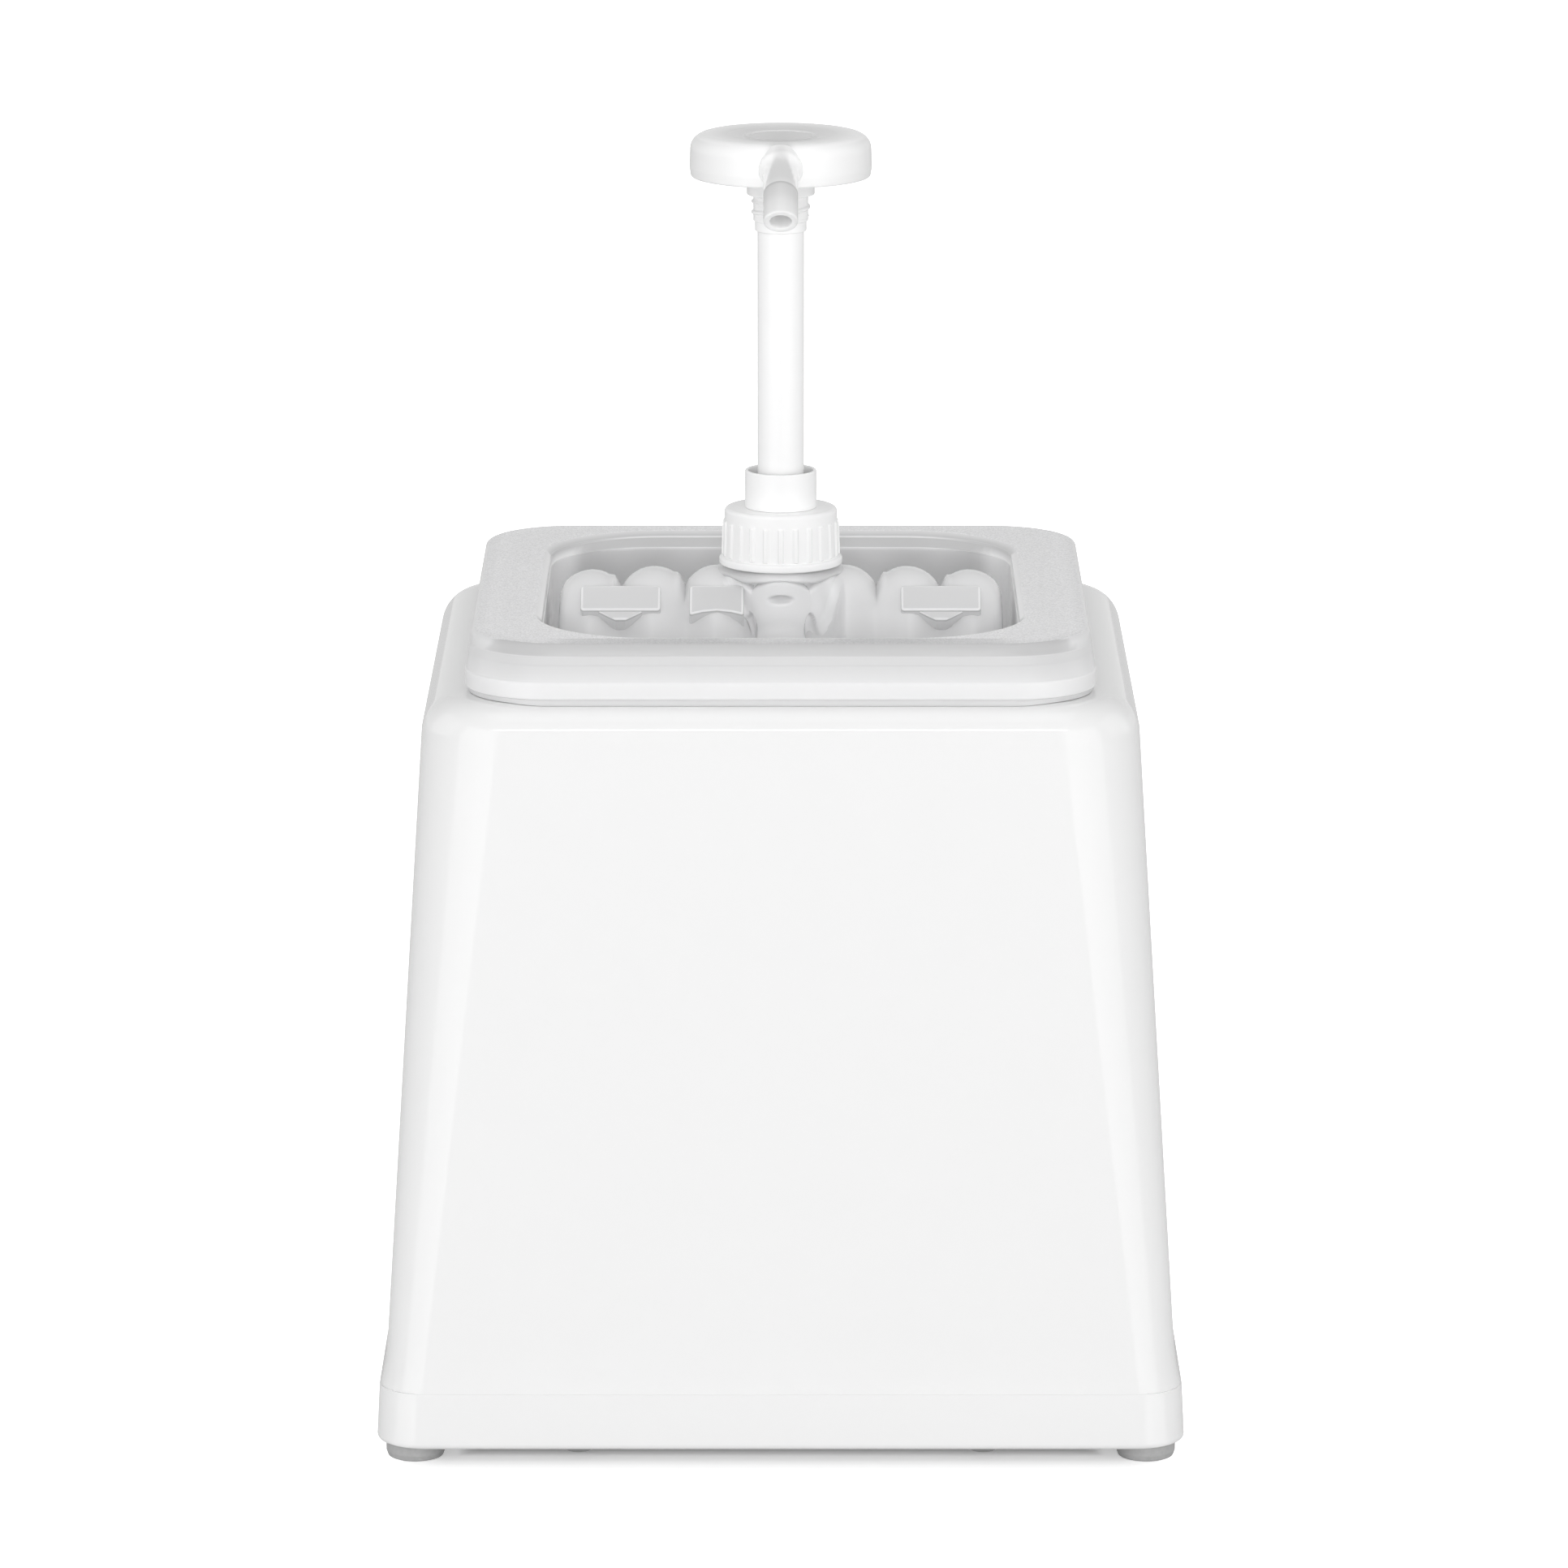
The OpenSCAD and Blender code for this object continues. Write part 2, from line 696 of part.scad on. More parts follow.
// Pump cylinder: flange on the neck, long bore, valve seat and socket for the dip tube
module pump_barrel() {
    color("white")
        difference() {
            union() {
                post(neck_d / 2, z_flange, barrel_flange_t);
                post(barrel_r, z_socket, z_flange - z_socket + over);
                post(dip_d / 2 + push_gap + socket_t, z_socket - dip_socket, dip_socket + over);
            }
            post(bore_r, z_bottom, z_barrel - z_bottom + over);
            translate([0, 0, z_valve])
                cylinder(r1 = valve_r, r2 = valve_r + seat_flare, h = seat_flare);
            post(valve_r, z_socket - dip_socket - over, dip_socket + 3 * over);
            post(dip_d / 2 + push_gap, z_socket - dip_socket - over, dip_socket + over);
        }
}

// Flat seal between the barrel's flange and the neck's rim
module neck_gasket() {
    color("gray")
        ring(neck_d / 2, neck_bore / 2, z_neck, gasket_t);
}

// Screw cap: smooth top, grip ribs and a plain lip round its foot
module screw_cap() {
    grip_z = z_cap_foot + cap_lip_h;
    color("white")
        difference() {
            union() {
                post(cap_r, z_cap_foot, z_cap - z_cap_foot - cap_roof_t);
                translate([0, 0, z_cap - cap_roof_t])
                    cylinder(r1 = cap_r, r2 = cap_r - cap_roof_t / 2, h = cap_roof_t);
                post(cap_r + cap_lip, z_cap_foot, cap_lip_h);
                for (i = [0 : grip_count - 1])
                    rotate([0, 0, i * 360 / grip_count])
                        translate([cap_r - over, -grip_w / 2, grip_z - over / 2])
                            cube([over + cap_lip / 3, grip_w, grip_h]);
            }
            post(cap_bore_r, z_cap_foot - over, z_cap - z_cap_foot - cap_roof_t + over);
            post(stalk_r + cap_play, z_cap - 2 * cap_roof_t, 3 * cap_roof_t);
        }
}

// Collar: cup above the cap and a stalk through it into the barrel, bored for the stem
module lock_collar() {
    color("white")
        difference() {
            union() {
                post(cup_r, z_cup, cup_h);
                post(stalk_r, z_stop, z_cup - z_stop + over);
            }
            post(cup_r - cup_t, z_cup_floor, cup_depth + over);
            post(stem_d / 2 + wiper_w, z_cup_floor - wiper_t, wiper_t + over);
            post(guide_r, z_stop - over, z_cup_floor - z_stop + 2 * over);
        }
}

// Soft ring in the cup's floor that wipes the stem
module stem_wiper() {
    color("gray")
        ring(stem_d / 2 + wiper_w - push_gap, guide_r, z_cup_floor - wiper_t, wiper_t);
}

// Suction tube down to the canister's floor
module dip_tube() {
    color("ivory")
        ring(dip_d / 2, dip_d / 2 - dip_t, z_dip, z_socket - z_dip);
}

// Cage over the inlet ball, with flow holes round its pocket and a peg for the spring
module ball_cage() {
    cage_r = bore_r - push_gap;
    flow_r = (cage_r - pocket_r) / 2 - push_gap;
    color("white")
        difference() {
            union() {
                post(cage_r, z_bottom, cage_h);
                post(peg_r, z_cage - over, peg_len + over);
            }
            post(pocket_r, z_bottom - over, z_pocket - z_bottom + over);
            for (turn = [45 : 90 : 315])
                rotate([0, 0, turn])
                    translate([pocket_r, 0, 0])
                        post(flow_r, z_bottom - over, cage_h + peg_len + 3 * over);
        }
}

// Ball of the inlet valve
module inlet_ball() {
    color("silver")
        translate([0, 0, z_inlet])
            sphere(inlet_r);
}

// Helix of the return spring: close turns at both ends, even turns between
end_pitch = wire_d + 0.6;
spring_rise = z_piston_foot - z_cage - wire_d;
open_pitch = (spring_rise - 2 * end_pitch) / (spring_turns - 2);
coil_steps = spring_turns * spring_rings;
function coil_height(t) = t < 1 ? t * end_pitch
    : t > spring_turns - 1 ? spring_rise - (spring_turns - t) * end_pitch
    : end_pitch + (t - 1) * open_pitch;
function coil_point(i, out, up) = let (t = i / spring_rings)
    [(coil_r + out) * cos(360 * t), (coil_r + out) * sin(360 * t), z_cage + wire_d / 2 + coil_height(t) + up];
coil_points = [for (i = [0 : coil_steps], s = [0 : spring_sides - 1])
    coil_point(i, wire_d / 2 * cos(360 * s / spring_sides), wire_d / 2 * sin(360 * s / spring_sides))];
coil_sides = [for (i = [0 : coil_steps - 1], s = [0 : spring_sides - 1], half = [0, 1])
    let (a = i * spring_sides + s, b = i * spring_sides + (s + 1) % spring_sides)
    half == 0 ? [a, a + spring_sides, b] : [b, a + spring_sides, b + spring_sides]];
coil_ends = [for (s = [1 : spring_sides - 2], last = [0, 1])
    let (base = last * coil_steps * spring_sides)
    last == 0 ? [base, base + s, base + s + 1] : [base, base + s + 1, base + s]];
coil_gap = min([for (i = [0 : coil_steps], j = [i + spring_rings / 2 : coil_steps])
    norm(coil_point(i, 0, 0) - coil_point(j, 0, 0))]) - wire_d;
echo(spring_least_gap = coil_gap);

// Compression spring between the cage and the piston
module return_spring() {
    color("silver")
        polyhedron(coil_points, concat(coil_sides, coil_ends));
}

// Piston: grooved for its seal, peg for the spring, spigot with the outlet seat inside the stem
module piston() {
    color("white")
        difference() {
            union() {
                post(piston_r, z_piston_foot, piston_len);
                post(peg_r, z_piston_foot - peg_len, peg_len + over);
                post(spigot_r, z_piston - over, spigot_len + over);
            }
            ring(piston_r + over, groove_r, z_groove, seal_h);
            post(piston_bore / 2, z_piston_foot - peg_len - over, piston_len + peg_len + spigot_len + 2 * over);
            translate([0, 0, z_spigot - outlet_flare])
                cylinder(r1 = piston_bore / 2, r2 = piston_bore / 2 + outlet_flare + over, h = outlet_flare + over);
        }
}

// Soft seal in the piston's groove
module piston_seal() {
    color("gray")
        ring(seal_r, groove_r, z_groove, seal_h);
}

// Ball of the outlet valve
module outlet_ball() {
    color("silver")
        translate([0, 0, z_outlet])
            sphere(outlet_r);
}

// Hollow stem: wide chamber over the outlet valve, flow slots above the ball, narrow channel up to the head
module stem_tube() {
    z_foot = z_piston + ball_gap;
    slot_w = stem_bore / 3;
    color("white")
        difference() {
            post(stem_d / 2, z_foot, z_stem - z_foot);
            post(chamber_r, z_foot - over, z_chamber - z_foot + over);
            post(stem_bore / 2, z_chamber - over, z_stem - z_chamber + 2 * over);
            for (turn = [0, 90])
                rotate([0, 0, turn])
                    translate([-chamber_r, -slot_w / 2, z_chamber - over])
                        cube([2 * chamber_r, slot_w, outlet_r + over]);
        }
}

// Tube of the spout at one radius: level duct inside the head, first stretch and tip, a knuckle at each bend
module spout_path(r, back, past) {
    translate([0, -spout_start, z_duct])
        rotate([90, 0, 0]) {
            translate([0, 0, back - spout_start])
                cylinder(r = r, h = spout_start - back);
            sphere(r + spout_knuckle);
            rotate([spout_fall, 0, 0]) {
                cylinder(r = r, h = spout_len);
                translate([0, 0, spout_len])
                    rotate([tip_fall - spout_fall, 0, 0]) {
                        sphere(r + spout_knuckle);
                        cylinder(r = r, h = tip_len + past);
                    }
            }
        }
}

// Half outline of the head with its rounded upper edge
module head_outline(inset) {
    square([head_d / 2 - inset, head_h - head_edge_r]);
    square([head_d / 2 - head_edge_r, head_h - inset]);
    translate([head_d / 2 - head_edge_r, head_h - head_edge_r])
        circle(head_edge_r - inset);
}

// Push head: dished top, hollow underside, lock plug below and the spout at the front
module pump_head() {
    color("white")
        difference() {
            union() {
                difference() {
                    translate([0, 0, z_head])
                        rotate_extrude()
                            intersection() {
                                head_outline(0);
                                square(head_d);
                            }
                    translate([0, 0, z_head - dish_depth])
                        rotate_extrude()
                            intersection() {
                                head_outline(head_t);
                                square(head_d);
                            }
                    translate([0, 0, z_top - dish_depth + dish_sphere])
                        sphere(dish_sphere, $fn = 128);
                }
                ring(dish_ring_d / 2, dish_ring_d / 2 - head_t / 2, z_top - dish_depth - head_t / 4,
                     head_t / 4 + dish_ring_h);
                post(plug_r + plug_shoulder, z_head - plug_shoulder_h,
                     plug_shoulder_h + head_h - dish_depth - 3 / 4 * head_t);
                post(plug_r, z_plug + plug_end_h, plug_len - plug_end_h);
                post(plug_end_r, z_plug, plug_end_h + over);
                spout_path(spout_d / 2, plug_r, 0);
            }
            post(stem_d / 2 + push_gap, z_plug - over, z_stem - z_plug + over);
            post(stem_bore / 2, z_plug, z_duct - z_plug);
            spout_path(spout_bore / 2, 0, over);
        }
}

housing_shell();
base_plate();
base_screws();
rubber_feet();
foot_screws();
top_frame();
sauce_canister();
pump_barrel();
neck_gasket();
screw_cap();
lock_collar();
stem_wiper();
dip_tube();
ball_cage();
inlet_ball();
return_spring();
piston();
piston_seal();
outlet_ball();
stem_tube();
pump_head();
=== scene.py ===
import json
import bmesh
import bpy
import numpy as np
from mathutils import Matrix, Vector


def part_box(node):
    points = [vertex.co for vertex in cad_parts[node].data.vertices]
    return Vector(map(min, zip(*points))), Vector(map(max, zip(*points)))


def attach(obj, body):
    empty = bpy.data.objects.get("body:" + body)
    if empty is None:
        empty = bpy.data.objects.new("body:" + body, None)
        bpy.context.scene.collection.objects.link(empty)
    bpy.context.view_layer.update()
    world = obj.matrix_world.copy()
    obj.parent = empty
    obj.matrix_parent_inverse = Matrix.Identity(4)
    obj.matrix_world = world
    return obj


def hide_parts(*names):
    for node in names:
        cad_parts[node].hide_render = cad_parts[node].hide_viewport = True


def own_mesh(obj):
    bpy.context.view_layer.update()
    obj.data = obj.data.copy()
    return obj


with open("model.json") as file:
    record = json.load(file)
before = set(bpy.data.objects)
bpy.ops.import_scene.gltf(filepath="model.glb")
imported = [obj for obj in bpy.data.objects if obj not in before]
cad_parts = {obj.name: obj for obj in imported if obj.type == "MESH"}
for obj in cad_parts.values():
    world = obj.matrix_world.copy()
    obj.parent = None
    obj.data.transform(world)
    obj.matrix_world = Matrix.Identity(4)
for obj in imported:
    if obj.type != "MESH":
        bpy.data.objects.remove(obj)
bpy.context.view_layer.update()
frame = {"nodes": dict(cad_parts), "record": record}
mm = 0.001
slotOf = {part["node"]: part["material_slot"] for part in frame["record"]["subparts"]}
bodyOf = {node: body for body, nodes in frame["record"]["behaviour"]["bodies"].items() for node in nodes}
print("frame loaded")


def span(node):
    # lowest and highest corner of a CAD node, in millimetres
    low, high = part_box(node)
    return np.array(low) / mm, np.array(high) / mm


def unit(value):
    # held between 0 and 1
    return np.clip(value, 0, 1)


def ramp(value, near, far):
    # smooth step: of the share of the way from near to far, three times the square less twice the cube
    share = unit((value - near) / (far - near))
    return share * share * (3 - 2 * share)


def turnSteps(count):
    # even angles round a full turn
    return np.arange(count) * 2 * np.pi / count


def skin(grid, centre=(0, 0, 0), closeRows=False, closeCols=True):
    # quads over a grid of points; the summed volume of their cones from the centre tells which way is out
    rows, cols = grid.shape[:2]
    points = grid.reshape(-1, 3)
    i, j = np.meshgrid(np.arange(rows - (not closeRows)), np.arange(cols - (not closeCols)), indexing="ij")
    k, m = (i + 1) % rows, (j + 1) % cols
    quads = np.stack([i * cols + j, i * cols + m, k * cols + m, k * cols + j], -1).reshape(-1, 4)
    a, b, c, d = (points[quads[:, n]] - np.array(centre) for n in range(4))
    volume = np.sum(a * (np.cross(b, c) + np.cross(c, d)))
    return points, quads if volume > 0 else quads[:, ::-1]


def capped(grid):
    # one more row at each end, drawn together in that end's middle
    ends = [np.repeat(row.mean(1, keepdims=True), grid.shape[1], 1) for row in (grid[:1], grid[-1:])]
    return np.concatenate([ends[0], grid, ends[1]])


def filletKeys(keys, steps=8, closed=True):
    # key rows (sizes, z, fillet): each corner becomes a circular arc, written as a rational quadratic curve whose
    # middle weight is the sine of half the corner's angle, with a support row just before and after it
    keys = np.asarray(keys, float)
    sizes, fillets = keys[:, :-1], keys[:, -1]
    flat = sizes[:, [0, -1]]
    count = len(keys)
    t = np.linspace(0, 1, steps + 1)[:, None]
    rows = []
    for n in range(count):
        if fillets[n] <= 0 or (not closed and n in (0, count - 1)):
            rows.append(sizes[n:n + 1])
            continue
        before, after = (n - 1) % count, (n + 1) % count
        lengths = [np.linalg.norm(flat[other] - flat[n]) for other in (before, after)]
        cosine = np.dot(flat[before] - flat[n], flat[after] - flat[n]) / (lengths[0] * lengths[1])
        half = np.arccos(np.clip(cosine, -1, 1)) / 2
        cut = min(fillets[n] / np.tan(half), 0.45 * min(lengths))
        reach = [cut, min(cut * 1.15 + 0.05, 0.49 * min(lengths))]
        sides = [[sizes[n] + (sizes[other] - sizes[n]) * r / length for r in reach]
                 for other, length in zip((before, after), lengths)]
        weight = np.sin(half)
        arc = (1 - t) ** 2 * sides[0][0] + 2 * t * (1 - t) * weight * sizes[n] + t ** 2 * sides[1][0]
        arc /= (1 - t) ** 2 + 2 * t * (1 - t) * weight + t ** 2
        rows += [sides[0][1][None], arc, sides[1][1][None]]
    return np.concatenate(rows)


def cornerRings(halfX, front, back, radius, z, arcSteps=16):
    # for each row the outline of a rectangle with round corners: four quarter circles joined by straight runs
    halfX, front, back, radius, z = (np.asarray(v, float)[:, None] for v in (halfX, front, back, radius, z))
    turn = np.linspace(0, np.pi / 2, arcSteps + 1)
    stops = np.array([0.02, 0.2, 0.5, 0.8, 0.98])[:, None]
    corners = []
    for quarter, (sideX, sideY) in enumerate(((1, 1), (-1, 1), (-1, -1), (1, -1))):
        angle = turn + quarter * np.pi / 2
        middle = back - radius if sideY > 0 else radius - front
        corners.append(np.stack([sideX * (halfX - radius) + radius * np.cos(angle),
                                 middle + radius * np.sin(angle)], -1))
    runs = []
    for quarter in range(4):
        start, end = corners[quarter][:, -1:], corners[(quarter + 1) % 4][:, :1]
        runs += [corners[quarter], start + (end - start) * stops]
    ring = np.concatenate(runs, 1)
    return np.concatenate([ring, np.repeat(z[:, :, None], ring.shape[1], 1)], -1)


def lathe(profile, steps=128):
    # each profile point (radius, z) carried round the upright axis
    angle = turnSteps(steps)
    radius, z = np.asarray(profile, float)[:, :1], np.asarray(profile, float)[:, 1:]
    return np.stack([radius * np.cos(angle), radius * np.sin(angle), z + 0 * angle], -1)


def swell(grid, growth):
    # distance from the upright axis times a factor
    grid[..., :2] *= growth[..., None]


def threadRidge(z, s, start, low, high, run, swing):
    # ridge that climbs one pitch a turn: a cosine cut off at its crest and foot, faded out over a short run at the ends
    phase = (z - start) / s["threadPitch"] - turnSteps(z.shape[1]) / (2 * np.pi)
    ends = unit((z - low) / run) * unit((high - z) / run)
    return s["thread"] * unit(swing * np.cos(2 * np.pi * phase) + 1.2 - swing) * ends


def makePiece(name, skins, node, material, sharp=35, tones=None):
    # skins joined to one mesh with welded seams, which rides with its CAD node's body and stands in for that node
    starts = np.cumsum([0] + [len(points) for points, quads in skins])
    points = np.concatenate([points for points, quads in skins]) * mm
    quads = np.concatenate([quads + start for (points, quads), start in zip(skins, starts)])
    mesh = bpy.data.meshes.new(name)
    mesh.from_pydata(points.tolist(), [], quads.tolist())
    if tones is not None:
        values = np.concatenate([np.ravel(tone) for tone in tones]).astype(np.float32)
        mesh.attributes.new("tone", "FLOAT", "POINT").data.foreach_set("value", values)
    weld = bmesh.new()
    weld.from_mesh(mesh)
    bmesh.ops.remove_doubles(weld, verts=weld.verts, dist=0.000002)
    weld.to_mesh(mesh)
    weld.free()
    mesh.shade_smooth()
    mesh.set_sharp_from_angle(angle=np.radians(sharp))
    mesh.materials.append(material)
    piece = bpy.data.objects.new(name, mesh)
    bpy.context.collection.objects.link(piece)
    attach(piece, bodyOf[node])
    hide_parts(node)
    print("piece", name, len(mesh.polygons), "faces")
    return piece


def addNode(tree, kind, values=(), **options):
    # shader node with its options, then plain values on its named inputs
    node = tree.nodes.new("ShaderNode" + kind)
    for name, value in options.items():
        setattr(node, name, value)
    for name, value in dict(values).items():
        node.inputs[name].default_value = value
    return node


def calc(tree, operation, *values):
    # math node whose inputs are sockets or plain numbers
    node = addNode(tree, "Math", operation=operation)
    for socket, value in zip(node.inputs, values):
        if isinstance(value, bpy.types.NodeSocket):
            tree.links.new(value, socket)
        else:
            socket.default_value = value
    return node.outputs["Value"]


def parted(tree, output):
    # x, y and z of a kind of coordinates
    parts = addNode(tree, "SeparateXYZ")
    tree.links.new(addNode(tree, "TexCoord").outputs[output], parts.inputs["Vector"])
    return [parts.outputs[axis] for axis in "XYZ"]


def surface(name, settings):
    # object-space noise varies colour and roughness a little and waves the surface; a grained top is speckled
    material = bpy.data.materials.new(name)
    material.use_nodes = True
    tree = material.node_tree
    link = tree.links.new
    shader = tree.nodes["Principled BSDF"]
    coords = addNode(tree, "TexCoord").outputs["Object"]
    noise = addNode(tree, "TexNoise", {"Scale": settings["scale"], "Detail": 3})
    link(coords, noise.inputs["Vector"])
    wave = noise.outputs["Fac"]
    base, spread = np.array(settings["color"]), settings["spread"]
    darker, lighter = (*(base * (1 - spread)), 1), (*np.minimum(base * (1 + spread), 1), 1)
    tint = addNode(tree, "Mix", {"A": darker, "B": lighter}, data_type="RGBA")
    link(wave, tint.inputs["Factor"])
    rough = addNode(tree, "MapRange", {"To Min": settings["rough"] * 0.85, "To Max": settings["rough"] * 1.15})
    link(wave, rough.inputs["Value"])
    link(rough.outputs["Result"], shader.inputs["Roughness"])
    bump = addNode(tree, "Bump", {"Strength": settings["bump"], "Distance": settings.get("height", 0.0001)})
    link(bump.outputs["Normal"], shader.inputs["Normal"])
    color, relief = tint.outputs["Result"], wave
    if "grainFrom" in settings:
        mask = addNode(tree, "MapRange", {"From Min": settings["grainFrom"], "From Max": settings["grainFull"]})
        link(parted(tree, "Object")[2], mask.inputs["Value"])
        speck = addNode(tree, "TexNoise", {"Scale": settings["grainScale"], "Detail": 2})
        link(coords, speck.inputs["Vector"])
        crisp = addNode(tree, "MapRange", {"From Min": 0.38, "From Max": 0.62})
        link(speck.outputs["Fac"], crisp.inputs["Value"])
        grain = addNode(tree, "Mix", {"A": (*settings["grainDark"], 1), "B": (*settings["grainLight"], 1)},
                        data_type="RGBA")
        link(crisp.outputs["Result"], grain.inputs["Factor"])
        pick = addNode(tree, "Mix", data_type="RGBA")
        raised = addNode(tree, "Mix")
        for mix, plain, grained in ((pick, color, grain.outputs["Result"]), (raised, wave, crisp.outputs["Result"])):
            link(mask.outputs["Result"], mix.inputs["Factor"])
            link(plain, mix.inputs["A"])
            link(grained, mix.inputs["B"])
        color, relief = pick.outputs["Result"], raised.outputs["Result"]
    # a toned finish multiplies its colour by the piece's tone attribute, which paints light and shade
    if settings.get("toned"):
        tone = addNode(tree, "Attribute", attribute_name="tone")
        shade = addNode(tree, "VectorMath", operation="SCALE")
        link(color, shade.inputs["Vector"])
        link(tone.outputs["Fac"], shade.inputs["Scale"])
        color = shade.outputs["Vector"]
    link(color, shader.inputs["Base Color"])
    link(relief, bump.inputs["Height"])
    fixed = {"Metallic": settings.get("metal", 0.0), "Specular IOR Level": settings.get("shine", 0.5),
             "Coat Weight": settings.get("coat", 0.0), "Coat Roughness": 0.02,
             "Subsurface Weight": settings.get("milk", 0.0), "Subsurface Radius": (1, 1, 1),
             "Subsurface Scale": settings.get("depth", 0.004)}
    for socket, value in fixed.items():
        shader.inputs[socket].default_value = value
    return material


# toned finishes take painted light and shade from their pieces' tone attribute
finishes = {
    "white_gloss": {"color": (0.86, 0.86, 0.86), "spread": 0.006, "rough": 0.045, "scale": 60, "bump": 0.02,
                    "shine": 0.6, "coat": 0.8},
    "white_plastic": {"color": (0.86, 0.86, 0.86), "spread": 0.015, "rough": 0.40, "scale": 300, "bump": 0.15},
    "pump_white": {"color": (0.97, 0.97, 0.97), "spread": 0.008, "rough": 0.22, "scale": 150, "bump": 0.05},
    "headWhite": {"color": (0.97, 0.97, 0.97), "spread": 0.008, "rough": 0.20, "scale": 150, "bump": 0.05,
                  "toned": True},
    "frame_plastic": {"color": (0.86, 0.86, 0.865), "spread": 0.005, "rough": 0.18, "scale": 200, "bump": 0.03,
                      "toned": True, "milk": 0.35, "depth": 0.005, "grainFrom": 0.22165, "grainFull": 0.22185,
                      "grainScale": 2400, "grainDark": (0.76, 0.76, 0.77), "grainLight": (0.97, 0.97, 0.98)},
    "canister_plastic": {"color": (0.81, 0.81, 0.815), "spread": 0.01, "rough": 0.16, "scale": 90, "bump": 0.10,
                         "height": 0.0003, "toned": True},
    "tube_plastic": {"color": (0.85, 0.85, 0.83), "spread": 0.02, "rough": 0.35, "scale": 250, "bump": 0.08},
    "foot_rubber": {"color": (0.42, 0.42, 0.42), "spread": 0.12, "rough": 0.75, "scale": 900, "bump": 0.35},
    "seal_rubber": {"color": (0.45, 0.45, 0.45), "spread": 0.08, "rough": 0.65, "scale": 700, "bump": 0.25},
    "screw_steel": {"color": (0.45, 0.45, 0.45), "spread": 0.08, "rough": 0.35, "scale": 1200, "bump": 0.15,
                    "metal": 1.0},
    "ball_steel": {"color": (0.70, 0.70, 0.71), "spread": 0.03, "rough": 0.15, "scale": 600, "bump": 0.03,
                   "metal": 1.0},
    "spring_steel": {"color": (0.66, 0.66, 0.66), "spread": 0.06, "rough": 0.30, "scale": 1500, "bump": 0.12,
                     "metal": 1.0},
}
looks = {name: surface(name, settings) for name, settings in finishes.items()}
for node, item in frame["nodes"].items():
    item.data.materials.clear()
    item.data.materials.append(looks[slotOf[node]])
print("materials made")

housing = {"flangeTop": 19.7, "flangeDraft": 0.8, "flangeCorner": 13.0, "footHalf": 107.7, "shoulderHalf": 97.2,
           "footCorner": 12.0, "shoulderCorner": 24.0, "shoulder": 10.5, "flare": 1.15, "flareHeight": 11.0,
           "shell": 3.0, "pocket": (78.1, 83.4, 83.4, 14.6), "pocketDepth": 2.2, "mouth": (68.1, 76.6, 76.6, 27.1),
           "roofHalf": 93.8, "roofCorner": 21.0, "roofFillet": 7.0, "cavityCorner": 9.0, "plate": 3.0,
           "plateRoom": 1.4, "bossRadius": 4.5, "bossBore": 1.9, "bossHeight": 14.0, "bossSpacing": 110.0,
           "bossInset": 3.5}


def buildHousing(s):
    # outlines stacked upwards: flange, flared foot of the wall, straight taper, shoulder as a quarter circle,
    # pocket and opening, then back down inside
    low, high = span("housing_shell")
    bottom, top, half = low[2], high[2], high[0]
    wallTop = top - s["shoulder"]

    def wall(z):
        share = (z - s["flangeTop"]) / (wallTop - s["flangeTop"])
        return (s["footHalf"] + (s["shoulderHalf"] - s["footHalf"]) * share,
                s["footCorner"] + (s["shoulderCorner"] - s["footCorner"]) * share)

    def square(size, corner, z, fillet=0.0):
        return [size, size, size, corner, z, fillet]

    keys = [square(half, s["flangeCorner"], bottom, 1.6),
            square(half - s["flangeDraft"], s["flangeCorner"] - s["flangeDraft"], s["flangeTop"], 0.6)]
    flareZ = np.linspace(s["flangeTop"] - 0.1, s["flangeTop"] + s["flareHeight"], 12)
    for z in flareZ:
        size, corner = wall(z)
        out = s["flare"] * ((flareZ[-1] - z) / s["flareHeight"]) ** 2
        keys.append(square(size + out, corner + out, z))
    for z in np.linspace(flareZ[-1], wallTop, 7)[1:-1]:
        keys.append(square(*wall(z), z))
    for angle in np.radians(np.linspace(3.4, 90, 15)):
        inset = s["shoulder"] * (1 - np.cos(angle))
        keys.append(square(s["shoulderHalf"] - inset, s["shoulderCorner"] - inset,
                           wallTop + s["shoulder"] * np.sin(angle)))
    seat = top - s["pocketDepth"]
    under = seat - s["shell"]
    cavity, corner = s["footHalf"] - s["shell"], s["cavityCorner"]
    floor = bottom + s["plate"]
    room, roomCorner = cavity + s["plateRoom"], corner + s["plateRoom"]
    keys += [[*s["pocket"], top, 0.6], [*s["pocket"], seat, 0.4], [*s["mouth"], seat, 0.6], [*s["mouth"], under, 0.6],
             square(s["roofHalf"], s["roofCorner"], under, s["roofFillet"]),
             square(cavity, corner, s["flangeTop"]), square(cavity, corner, floor, 0.3),
             square(room, roomCorner, floor, 0.3), square(room, roomCorner, bottom, 0.4)]
    skins = [skin(cornerRings(*filletKeys(keys).T, arcSteps=18), closeRows=True)]
    bossTop = floor + s["bossHeight"]
    boss = filletKeys([[s["bossBore"], floor, 0.2], [s["bossRadius"], floor, 0.2], [s["bossRadius"], bossTop, 0.6],
                       [s["bossBore"], bossTop, 0.2]], 4)
    x = cavity - s["bossInset"]
    for angle in np.radians((0, 90, 180, 270)):
        for y in (-s["bossSpacing"] / 2, s["bossSpacing"] / 2):
            shift = np.array([x * np.cos(angle) - y * np.sin(angle), x * np.sin(angle) + y * np.cos(angle), 0])
            skins.append(skin(lathe(boss, 32) + shift, closeRows=True))
    makePiece("housing", skins, "housing_shell", looks["white_gloss"])


buildHousing(housing)
